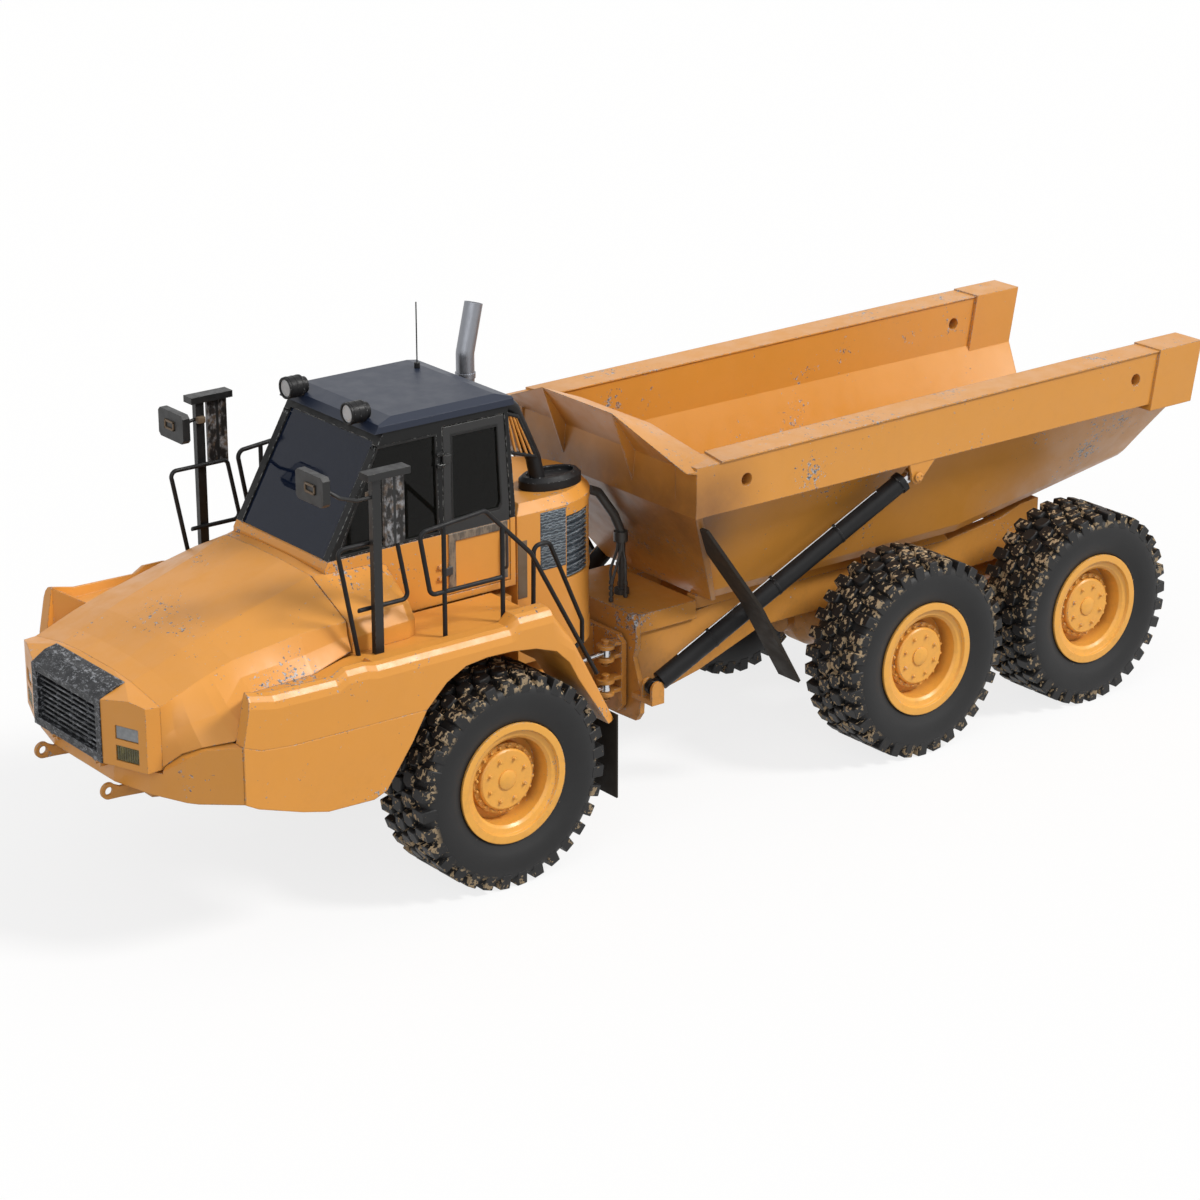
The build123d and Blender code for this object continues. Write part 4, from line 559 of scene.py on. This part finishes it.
def piece(name, builder, material, body, smooth=True):
    """Object made from a finished mesh builder, riding on a body."""
    bmesh.ops.recalc_face_normals(builder, faces=builder.faces)
    mesh = bpy.data.meshes.new(name)
    builder.to_mesh(mesh)
    builder.free()
    mesh.materials.append(material)
    if smooth:
        mesh.shade_smooth()
        mesh.set_sharp_from_angle(angle=math.radians(35))
    obj = bpy.data.objects.new(name, mesh)
    scene.collection.objects.link(obj)
    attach(obj, body)
    return obj


def bridge(bm, rings):
    """Skin between neighbouring closed rings of vertices."""
    for first, second in zip(rings, rings[1:]):
        for step in range(len(first)):
            after = (step + 1) % len(first)
            corners = dict.fromkeys((first[step], first[after], second[after], second[step]))
            if len(corners) > 2:
                bm.faces.new(list(corners))


def lathe(bm, profile, count, place=Matrix()):
    """Skin turned about the local Y axis from radius and offset pairs; a radius of zero closes it."""
    rings = []
    for radius, offset in profile:
        if radius == 0:
            rings.append([bm.verts.new(place @ Vector((0, offset, 0)))] * count)
            continue
        ring = []
        for step in range(count):
            angle = 2 * math.pi * step / count
            spot = Vector((radius * math.sin(angle), offset, radius * math.cos(angle)))
            ring.append(bm.verts.new(place @ spot))
        rings.append(ring)
    bridge(bm, rings)


def sleeve(bm, inner, outer, half, count, place):
    """Short ring about the local Y axis."""
    lathe(bm, ((inner, -half), (outer, -half), (outer, half), (inner, half)), count, place)


def aimed(spot, direction):
    """Place at a spot, the lathe's Y axis along a direction."""
    turn = Vector(direction).to_track_quat("Y", "Z").to_matrix().to_4x4()
    return Matrix.Translation(spot) @ turn


def pipe(bm, points, radius, count=10):
    """Closed round tube through the points."""
    points = [Vector(point) for point in points]
    rings = []
    side = None
    for index, point in enumerate(points):
        ahead = points[min(index + 1, len(points) - 1)] - points[max(index - 1, 0)]
        ahead.normalize()
        if side is None:
            side = ahead.orthogonal().normalized()
        side = (side - ahead * side.dot(ahead)).normalized()
        up = ahead.cross(side)
        rings.append([
            bm.verts.new(point + radius * (math.cos(a) * side + math.sin(a) * up))
            for a in (2 * math.pi * step / count for step in range(count))])
    bridge(bm, rings)
    bm.faces.new(rings[0][::-1])
    bm.faces.new(rings[-1])


def eased(points, share=0.3, steps=4):
    """The points with each inner corner rounded off."""
    points = [Vector(point) for point in points]
    result = [points[0]]
    for before, corner, after in zip(points, points[1:], points[2:]):
        start = corner.lerp(before, share)
        end = corner.lerp(after, share)
        for step in range(steps + 1):
            t = step / steps
            result.append(start.lerp(corner, t).lerp(corner.lerp(end, t), t))
    return result + [points[-1]]


def slab(bm, low, high, bevel=0.004, place=Matrix()):
    """Block with eased edges between two corners."""
    made = bmesh.ops.create_cube(bm, size=1)["verts"]
    size = Vector(high) - Vector(low)
    centre = (Vector(high) + Vector(low)) / 2
    sized = Matrix.Translation(centre) @ Matrix.Diagonal(size).to_4x4()
    bmesh.ops.transform(bm, verts=made, matrix=place @ sized)
    edges = list(dict.fromkeys(edge for vert in made for edge in vert.link_edges))
    bmesh.ops.bevel(bm, geom=edges, offset=bevel, segments=2, profile=0.6, affect="EDGES")


# Columns: washer's radius in head radii, height in head heights
WASHER = ((1.45, 0), (1.45, 0.18), (1.25, 0.22), (0, 0.22))


def bolt(bm, radius, height, place, sides=6):
    """Bolt head on its washer, standing along the local Y axis."""
    lathe(bm, [(radius * wide, height * high) for wide, high in WASHER], 14, place)
    head = [(radius, height * 0.2), (radius, height * 0.8), (radius * 0.86, height), (0, height)]
    lathe(bm, head, sides, place)


def mirrored(bm):
    """Copy of everything made so far on the other side of the truck."""
    made = bmesh.ops.duplicate(bm, geom=bm.verts[:] + bm.edges[:] + bm.faces[:])["geom"]
    verts = [item for item in made if isinstance(item, bmesh.types.BMVert)]
    bmesh.ops.transform(bm, verts=verts, matrix=Matrix.Scale(-1, 4, (0, 1, 0)))


# Wheels

TYRE_SEGMENTS = 128
LUG_COUNT = 32
# Columns: radius, offset from the tyre's middle
TYRE_PROFILE = (
    (0.400, 0.222), (0.455, 0.234), (0.470, 0.246), (0.478, 0.249), (0.490, 0.252), (0.530, 0.274),
    (0.585, 0.2895), (0.640, 0.2945), (0.680, 0.2915), (0.712, 0.2835), (0.738, 0.268), (0.752, 0.243),
    (0.760, 0.205), (0.762, 0.10))
# Columns: arc along the tread, offset from its middle, 1 where the corner runs down the shoulder
SHOULDER_LUG = (
    (-0.044, 0.140, 0), (0.026, 0.130, 0), (0.044, 0.162, 0), (0.044, 0.276, 1), (-0.044, 0.276, 1))
CENTRE_LUG = (
    (-0.058, 0.022, 0), (-0.030, 0.005, 0), (0.036, 0.010, 0), (0.062, 0.050, 0), (0.050, 0.112, 0),
    (0.004, 0.120, 0), (-0.050, 0.100, 0))
LUG_TOP = 0.8095
LUG_FOOT = 0.756
SHOULDER_FOOT = 0.694
SHOULDER_Y = 0.2905
LUG_BEVEL = 0.006


def add_lug(bm, outline, angle, side):
    """Tapered rubber block wrapped on the carcass; its outer corners run down over the shoulder."""
    centre_arc = sum(corner[0] for corner in outline) / len(outline)
    centre_off = sum(corner[1] for corner in outline) / len(outline)
    top = []
    foot = []
    for arc, offset, drop in outline:
        turn = angle + arc / LUG_TOP
        top.append(bm.verts.new((LUG_TOP * math.sin(turn), side * offset, LUG_TOP * math.cos(turn))))
        turn = angle + (centre_arc + (arc - centre_arc) * 1.14) / LUG_TOP
        wide = SHOULDER_Y if drop else centre_off + (offset - centre_off) * 1.10
        radius = SHOULDER_FOOT if drop else LUG_FOOT
        foot.append(bm.verts.new((radius * math.sin(turn), side * wide, radius * math.cos(turn))))
    bm.faces.new(top)
    bm.faces.new(foot[::-1])
    bridge(bm, (foot, top))


def tyre_mesh():
    """Carcass with lugs, about the local Y axis."""
    bm = bmesh.new()
    other_half = [(radius, -offset) for radius, offset in reversed(TYRE_PROFILE)]
    lathe(bm, list(TYRE_PROFILE) + other_half, TYRE_SEGMENTS)
    lugs = bmesh.new()
    turn = 2 * math.pi / LUG_COUNT
    for index in range(LUG_COUNT):
        for side, shift in ((1, 0), (-1, 0.5)):
            add_lug(lugs, SHOULDER_LUG, (index + shift) * turn, side)
            add_lug(lugs, CENTRE_LUG, (index + 0.5 + shift) * turn, side)
    bmesh.ops.bevel(lugs, geom=lugs.edges[:], offset=LUG_BEVEL, segments=1, affect="EDGES")
    shared = bpy.data.meshes.new("lugs")
    lugs.to_mesh(shared)
    lugs.free()
    bm.from_mesh(shared)
    bpy.data.meshes.remove(shared)
    return bm


# Columns: bolts on the ring, ring radius, seat offset, head radius
WHEEL_BOLTS = ((20, 0.249, 0.132, 0.0125), (8, 0.165, 0.176, 0.0115))
HUB_PLUG = ((0.075, 0.1755), (0.075, 0.184), (0.066, 0.189), (0.020, 0.191), (0, 0.191))
for position, axle_x in AXLE_X.items():
    wheel_rubber = rubber(position + "_tyre_rubber", axle_x)
    for side_name, side in SIDES.items():
        body = "%s_%s_wheel" % (position, side_name)
        centre = Matrix.Translation((axle_x, side * TRACK / 2, AXLE_Z))
        bm = tyre_mesh()
        bm.transform(centre @ Matrix.Rotation(random.uniform(0, 2 * math.pi), 4, "Y"))
        tyre = piece(body + "_tread", bm, wheel_rubber, body)
        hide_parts("%s_%s_tyre" % (position, side_name))
        bm = bmesh.new()
        for count, ring, seat, size in WHEEL_BOLTS:
            for index in range(count):
                angle = 2 * math.pi * (index + 0.5) / count
                spot = (ring * math.sin(angle), seat, ring * math.cos(angle))
                bolt(bm, size, 0.021, Matrix.Translation(spot), 10)
        lathe(bm, HUB_PLUG, 28)
        bm.transform(centre @ Matrix.Scale(side, 4, (0, 1, 0)))
        piece(body + "_bolts", bm, paint_wheel, body)
        paint("%s_%s_rim" % (position, side_name), paint_wheel)

# Seat: sprung base, cushion and backrest swollen by a short cloth run

SEAT_FLOOR_Z = 2.006
VOXEL = 0.006
CLOTH_STEPS = 20
SEAM_DEPTH = 0.014
SEAM_WIDTH = 0.009
WELT_SHARE = 0.018
WELT_WIDTH = 0.006


def swap_mesh(obj):
    """The modifiers' result becomes the mesh."""
    graph = bpy.context.evaluated_depsgraph_get()
    made = bpy.data.meshes.new_from_object(obj.evaluated_get(graph))
    obj.modifiers.clear()
    obj.data = made


def cushion(name, size, place, channels, cap, body):
    """Stuffed pad with its seams drawn in; channels are sewn lines, as shares of its length."""
    bm = bmesh.new()
    slab(bm, [-span / 2 for span in size], [span / 2 for span in size], 0.035)
    mesh = bpy.data.meshes.new(name)
    bm.to_mesh(mesh)
    bm.free()
    obj = bpy.data.objects.new(name, mesh)
    scene.collection.objects.link(obj)
    remesh = obj.modifiers.new("remesh", "REMESH")
    remesh.mode = "VOXEL"
    remesh.voxel_size = VOXEL
    swap_mesh(obj)
    start = [vert.co.copy() for vert in obj.data.vertices]
    cloth = obj.modifiers.new("cloth", "CLOTH")
    cloth.settings.use_pressure = True
    cloth.settings.uniform_pressure_force = 4
    cloth.settings.effector_weights.gravity = 0
    for step in range(1, CLOTH_STEPS + 1):
        scene.frame_set(step)
    swap_mesh(obj)
    scene.frame_set(1)
    for vert, rest in zip(obj.data.vertices, start):
        moved = vert.co - rest
        if moved.length > cap:
            vert.co = rest + moved.normalized() * cap
    for vert in obj.data.vertices:
        for channel in channels:
            away = abs(vert.co.x / size[0] + 0.5 - channel) * size[0]
            if vert.co.z > 0:
                vert.co.z -= SEAM_DEPTH * math.exp(-(away / SEAM_WIDTH) ** 2)
        away = abs(vert.co.z) / WELT_WIDTH
        pull = 1 - WELT_SHARE * math.exp(-away ** 2)
        vert.co.x *= pull
        vert.co.y *= pull
    obj.data.transform(place)
    obj.data.materials.clear()
    obj.data.materials.append(seat_cloth)
    obj.data.shade_smooth()
    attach(obj, body)
    return obj


seat_place = Matrix.Translation((FRONT_X - 0.075, 0, 2.345))
seat_pad = cushion("seat_cushion", (0.43, 0.43, 0.085), seat_place, (0.30, 0.66), 0.022, "tractor")
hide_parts("operator_seat")
lean = Matrix.Rotation(math.radians(-99.5), 4, "Y") @ Matrix.Rotation(math.pi, 4, "X")
back_place = Matrix.Translation((FRONT_X - 0.290, 0, 2.720)) @ lean
cushion("seat_back", (0.52, 0.40, 0.085), back_place, (0.33, 0.62, 0.86), 0.020, "tractor")

bm = bmesh.new()
gaiter = [(0.0, 0.0)]
for index in range(7):
    gaiter += [(0.150, 0.028 * index), (0.172, 0.028 * index + 0.014)]
gaiter += [(0.150, 0.196), (0, 0.196)]
lathe(bm, gaiter, 24, aimed((FRONT_X - 0.09, 0, SEAT_FLOOR_Z + 0.04), (0, 0, 1)))
slab(bm, (FRONT_X - 0.30, -0.21, SEAT_FLOOR_Z), (FRONT_X + 0.13, 0.21, SEAT_FLOOR_Z + 0.045), 0.008)
slab(bm, (FRONT_X - 0.30, -0.20, 2.245), (FRONT_X + 0.14, 0.20, 2.292), 0.010)
for arm_y in (-0.232, 0.232):
    slab(bm, (FRONT_X - 0.27, arm_y - 0.016, 2.50), (FRONT_X + 0.06, arm_y + 0.016, 2.535), 0.010)
    pipe(bm, ((FRONT_X - 0.25, arm_y, 2.27), (FRONT_X - 0.25, arm_y, 2.51)), 0.012)
piece("seat_base", bm, interior, "tractor")

# Cab trim: window seals, lenses, mirror glass

# Seals start 1.5 mm under the outer face of a cab wall or of the door
WALL_SEAL_Y = 0.5985
DOOR_SEAL_Y = 0.5955
SEAL_WIDTH = 0.014
SEAL_PROUD = 0.003


def outline_seal(bm, outline, near_y, side=1):
    """Flat rubber frame just inside an outline in x and z, standing off a side wall."""
    proud = side * SEAL_PROUD
    middle = Vector((sum(p[0] for p in outline), 0, sum(p[1] for p in outline))) / len(outline)
    rings = []
    near_y *= side
    far_y = near_y + proud
    for share, y in ((0.0, near_y), (0.0, far_y), (1.0, far_y), (1.0, near_y - 2 * proud)):
        ring = []
        for x, z in outline:
            corner = Vector((x, 0, z))
            inner = corner + (middle - corner).normalized() * SEAL_WIDTH * 1.35
            spot = corner.lerp(inner, share)
            ring.append(bm.verts.new((FRONT_X + spot.x, y, spot.z)))
        rings.append(ring)
    bridge(bm, rings)


# Columns: x ahead of the front axle, z
FRONT_WINDOW = ((0.930, 2.500), (0.575, 3.250), (0.070, 3.250), (0.055, 2.500))
REAR_WINDOW = ((-0.045, 2.560), (-0.045, 3.250), (-0.500, 3.250), (-0.535, 2.600), (-0.500, 2.560))
DOOR_WINDOW = ((-0.060, 2.570), (-0.060, 3.220), (-0.470, 3.220), (-0.505, 2.610), (-0.480, 2.570))
bm = bmesh.new()
outline_seal(bm, FRONT_WINDOW, WALL_SEAL_Y)
outline_seal(bm, FRONT_WINDOW, WALL_SEAL_Y, -1)
outline_seal(bm, REAR_WINDOW, WALL_SEAL_Y, -1)
piece("window_seals", bm, seal_rubber, "tractor", False)
bm = bmesh.new()
outline_seal(bm, DOOR_WINDOW, DOOR_SEAL_Y)
piece("door_seal", bm, seal_rubber, "cab_door_body", False)

LIGHT_Y = 0.397
LIGHT_Z = 3.464
# Columns: x ahead of the front axle, radius
LIGHT_BANDS = ((0.575, 0.0815), (0.622, 0.0815), (0.668, 0.0825))
# Columns: radius, offset from the lens's rim
LENS = (
    (0.0655, -0.004), (0.0655, 0.002), (0.058, 0.006), (0.054, 0.004), (0.044, 0.008), (0.040, 0.006),
    (0.028, 0.009), (0.024, 0.008), (0, 0.010))
bm = bmesh.new()
for light_y in (-LIGHT_Y, LIGHT_Y):
    lathe(bm, LENS, 32, aimed((FRONT_X + 0.677, light_y, LIGHT_Z), (1, 0, 0)))
piece("work_light_lenses", bm, clear_lens, "tractor")

bm = bmesh.new()
for light_y in (-LIGHT_Y, LIGHT_Y):
    for ring_x, ring_r in LIGHT_BANDS:
        band = ((ring_r - 0.006, -0.006), (ring_r, -0.004), (ring_r, 0.004), (ring_r - 0.006, 0.006))
        lathe(bm, band, 36, aimed((FRONT_X + ring_x, light_y, LIGHT_Z), (1, 0, 0)))
    for side in (-1, 1):
        spot = (FRONT_X + 0.59, light_y + side * 0.020, LIGHT_Z - 0.039)
        bolt(bm, 0.009, 0.010, aimed(spot, (0, side, 0)))
piece("work_light_bands", bm, black_steel, "tractor")

bm = bmesh.new()
slab(bm, (FRONT_X + 1.2775, 0.760, 3.092), (FRONT_X + 1.2855, 1.062, 3.273), 0.003)
mirrored(bm)
piece("mirror_faces", bm, mirror_glass, "tractor")
# Columns: low y, low z, high y, high z of the raised ring on the mirror's back
MIRROR_RING = (
    (0.860, 3.150, 0.985, 3.165), (0.860, 3.205, 0.985, 3.220), (0.860, 3.150, 0.872, 3.220),
    (0.973, 3.150, 0.985, 3.220))
bm = bmesh.new()
for low_y, low_z, high_y, high_z in MIRROR_RING:
    slab(bm, (FRONT_X + 1.344, low_y, low_z), (FRONT_X + 1.356, high_y, high_z), 0.003)
slab(bm, (FRONT_X + 0.945, 1.085, 3.085), (FRONT_X + 1.010, 1.125, 3.135), 0.008)
mirrored(bm)
piece("mirror_clamps", bm, rubbed_steel, "tractor")

# Slatted guard between the cab's back and the intake duct

GUARD_Y = 0.392
GUARD_TOP = (Vector((-0.602, 0, 3.245)), Vector((-0.800, 0, 3.165)))
GUARD_FOOT = (Vector((-0.602, 0, 2.945)), Vector((-0.962, 0, 2.830)))
GUARD_SLATS = 7
guard_place = Vector((FRONT_X, GUARD_Y, 0))
bm = bmesh.new()
for index in range(GUARD_SLATS):
    share = (index + 0.5) / GUARD_SLATS
    top = GUARD_TOP[0].lerp(GUARD_TOP[1], share) + guard_place
    foot = GUARD_FOOT[0].lerp(GUARD_FOOT[1], share) + guard_place
    pipe(bm, (top, foot), 0.011, 6)
piece("intake_slats", bm, paint_body, "tractor", False)
bm = bmesh.new()
corners = (GUARD_TOP[0], GUARD_TOP[1], GUARD_FOOT[1], GUARD_FOOT[0])
loop = [guard_place + corner for corner in corners]
for start, end in zip(loop, loop[1:] + loop[:1]):
    pipe(bm, (start, end), 0.016, 8)
for corner, drop in ((loop[1], -0.01), (loop[2], 0.0)):
    pipe(bm, (corner + Vector((0, 0.004, 0)), corner + Vector((-0.02, -0.06, drop))), 0.014, 8)
for corner in (loop[0], loop[3]):
    pipe(bm, (corner, corner + Vector((0.05, 0, 0))), 0.014, 8)
piece("intake_guard", bm, black_steel, "tractor")

# Wavy slats on the tower's flat sides, and the rubbed strips beside the cab's rear corners

GRILLE_X = (1.098, 1.332)
GRILLE_Z = (2.015, 2.465)
SLAT_COUNT = 15
SLAT_STEPS = 18
SLAT_RADIUS = 0.0042
SLAT_Y = CAB_SIDE_Y + 0.0045
bm = bmesh.new()
low = (GRILLE_X[0], CAB_SIDE_Y - 0.001, GRILLE_Z[0])
slab(bm, low, (GRILLE_X[1], CAB_SIDE_Y + 0.002, GRILLE_Z[1]), 0.001)
mirrored(bm)
piece("tower_side_grilles", bm, louvre_slate, "tractor")
bm = bmesh.new()
for index in range(SLAT_COUNT):
    level = GRILLE_Z[0] + (index + 0.5) * (GRILLE_Z[1] - GRILLE_Z[0]) / SLAT_COUNT
    shift = random.uniform(0, 6)
    route = []
    for step in range(SLAT_STEPS + 1):
        x = GRILLE_X[0] + 0.006 + (GRILLE_X[1] - GRILLE_X[0] - 0.012) * step / SLAT_STEPS
        wave = SLAT_RADIUS * math.sin(shift + step * 1.15) + random.uniform(-0.0012, 0.0012)
        route.append((x, SLAT_Y, level + wave))
    pipe(bm, route, SLAT_RADIUS, 6)
mirrored(bm)
piece("tower_side_slats", bm, slat_grey, "tractor")
bm = bmesh.new()
slab(bm, (1.456, CAB_SIDE_Y - 0.0015, 1.840), (1.540, CAB_SIDE_Y + 0.0045, 2.285), 0.003)
mirrored(bm)
piece("tower_strips", bm, rubbed_steel, "tractor")

# Small rigid pipes under the riser block, and the line along each hoist barrel

# Columns: top x and y, bend x and y, height of the bend, foot x and y
PIPES = (
    (0.150, 0.078, 0.150, 0.110, 1.70, 0.180, 0.150),
    (0.165, 0.030, 0.230, 0.020, 1.62, 0.250, 0.060),
    (0.130, 0.020, 0.060, -0.040, 1.66, 0.050, -0.090),
    (0.160, 0.070, 0.300, 0.130, 1.56, 0.330, 0.160))
PIPE_TOP_Z = 1.865
PIPE_FOOT_Z = 1.419
bm = bmesh.new()
for top_x, top_y, bend_x, bend_y, bend_z, foot_x, foot_y in PIPES:
    route = (
        (top_x, top_y, PIPE_TOP_Z), (top_x, top_y, 1.78), (bend_x, bend_y, bend_z),
        (foot_x, foot_y, bend_z - 0.08), (foot_x, foot_y, PIPE_FOOT_Z))
    pipe(bm, eased(route), 0.0115)
    for joint_z in (1.440, 1.535):
        sleeve(bm, 0, 0.019, 0.014, 6, aimed((foot_x, foot_y, joint_z), (0, 0, 1)))
piece("riser_pipes", bm, pipe_grey, "rear_chassis")

LINE_LIFT = 0.091
# Columns: distance from the hoist's lower pin, lift off its centre line
LINE_ROUTE = (
    (0.30, 0.070), (0.30, 0.089), (0.34, LINE_LIFT), (1.2, LINE_LIFT), (2.28, LINE_LIFT), (2.34, 0.089),
    (2.34, 0.070))
CLAMP_REACH = (0.6, 1.25, 1.9)
hoist_run = (HOIST_HIGH - HOIST_LOW).normalized()
hoist_side = Vector((0, 1, 0)).cross(hoist_run).normalized()
for side_name, side in SIDES.items():
    bm = bmesh.new()
    route = []
    for reach, lift in LINE_ROUTE:
        route.append(HOIST_LOW + hoist_run * reach + hoist_side * lift)
    pipe(bm, route, 0.0065)
    clamps = bmesh.new()
    for reach in CLAMP_REACH:
        spot = HOIST_LOW + hoist_run * reach
        sleeve(clamps, 0.0752, 0.0790, 0.011, 32, aimed(spot, hoist_run))
        sleeve(clamps, 0.006, 0.0125, 0.012, 12, aimed(spot + hoist_side * LINE_LIFT, hoist_run))
    if side < 0:
        for made in (bm, clamps):
            made.transform(Matrix.Scale(-1, 4, (0, 1, 0)))
    barrel = side_name + "_hoist_barrel_body"
    piece(side_name + "_hoist_line", bm, chrome, barrel)
    piece(side_name + "_hoist_clamps", clamps, black_steel, barrel)

# Pins and bolts

HITCH_X = 0.930
HITCH_CAP = ((0.092, 0), (0.092, 0.012), (0.084, 0.016), (0.030, 0.018), (0, 0.018))
bm = bmesh.new()
for lug_z, up in ((1.310, 1), (0.560, -1)):
    lathe(bm, HITCH_CAP, 32, aimed((HITCH_X, 0, lug_z), (0, 0, up)))
    for index in range(6):
        angle = math.pi * index / 3
        spot = (HITCH_X + 0.066 * math.cos(angle), 0.066 * math.sin(angle), lug_z + up * 0.015)
        bolt(bm, 0.009, 0.011, aimed(spot, (0, 0, up)))
piece("hitch_pin_caps", bm, paint_chassis, "tractor")

STEER_PIN_X = 0.595
STEER_PIN_Y = 0.430
STEER_CAP = ((0.033, 0), (0.033, 0.007), (0.026, 0.011), (0, 0.012))
HITCH_FACE_X = 0.4545
HITCH_BOLTS = 12
bm = bmesh.new()
for level in (0.867, 1.148):
    for end, up in ((0.095, 1), (-0.095, -1)):
        lathe(bm, STEER_CAP, 20, aimed((STEER_PIN_X, STEER_PIN_Y, level + end), (0, 0, up)))
mirrored(bm)
for index in range(HITCH_BOLTS):
    angle = 2 * math.pi * (index + 0.5) / HITCH_BOLTS
    spot = (HITCH_FACE_X, 0.30 * math.cos(angle), 0.935 + 0.235 * math.sin(angle))
    bolt(bm, 0.014, 0.014, aimed(spot, (1, 0, 0)))
piece("hitch_bolts", bm, paint_chassis, "hitch_body")

PIN_FACE_Y = 1.208
bm = bmesh.new()
centre = Matrix.Translation((HOIST_HIGH.x, PIN_FACE_Y, HOIST_HIGH.z))
lathe(bm, ((0.040, 0), (0.040, 0.008), (0.032, 0.012), (0, 0.013)), 24, centre)
for index in range(3):
    angle = 2 * math.pi * index / 3 + 0.5
    spot = (0.024 * math.cos(angle), 0.0115, 0.024 * math.sin(angle))
    bolt(bm, 0.006, 0.008, centre @ Matrix.Translation(spot))
mirrored(bm)
piece("hoist_pin_caps", bm, paint_tray, "dump_body_tray")

# Floor

FLOOR_HALF = 90
FLOOR_GLOW = 0.80
bm = bmesh.new()
bmesh.ops.create_grid(bm, x_segments=1, y_segments=1, size=FLOOR_HALF)
floor_mesh = bpy.data.meshes.new("floor")
bm.to_mesh(floor_mesh)
bm.free()
floor = bpy.data.objects.new("floor", floor_mesh)
r = Recipe("floor_white")
r.tree.nodes.remove(r.shader)
bounced = r.tree.nodes.new("ShaderNodeLightPath").outputs["Is Diffuse Ray"]
matt = r.tree.nodes.new("ShaderNodeBsdfDiffuse")
r.feed(r.blend(bounced, (0.90, 0.90, 0.90), (0.34, 0.33, 0.32)), matt.inputs["Color"])
white = r.tree.nodes.new("ShaderNodeEmission")
join = r.tree.nodes.new("ShaderNodeMixShader")
r.feed(r.sum("MULTIPLY", seen_rays(r.tree), FLOOR_GLOW), join.inputs[0])
r.feed(matt.outputs[0], join.inputs[1])
r.feed(white.outputs[0], join.inputs[2])
r.feed(join.outputs[0], r.output.inputs[0])
floor_mesh.materials.append(r.material)
scene.collection.objects.link(floor)
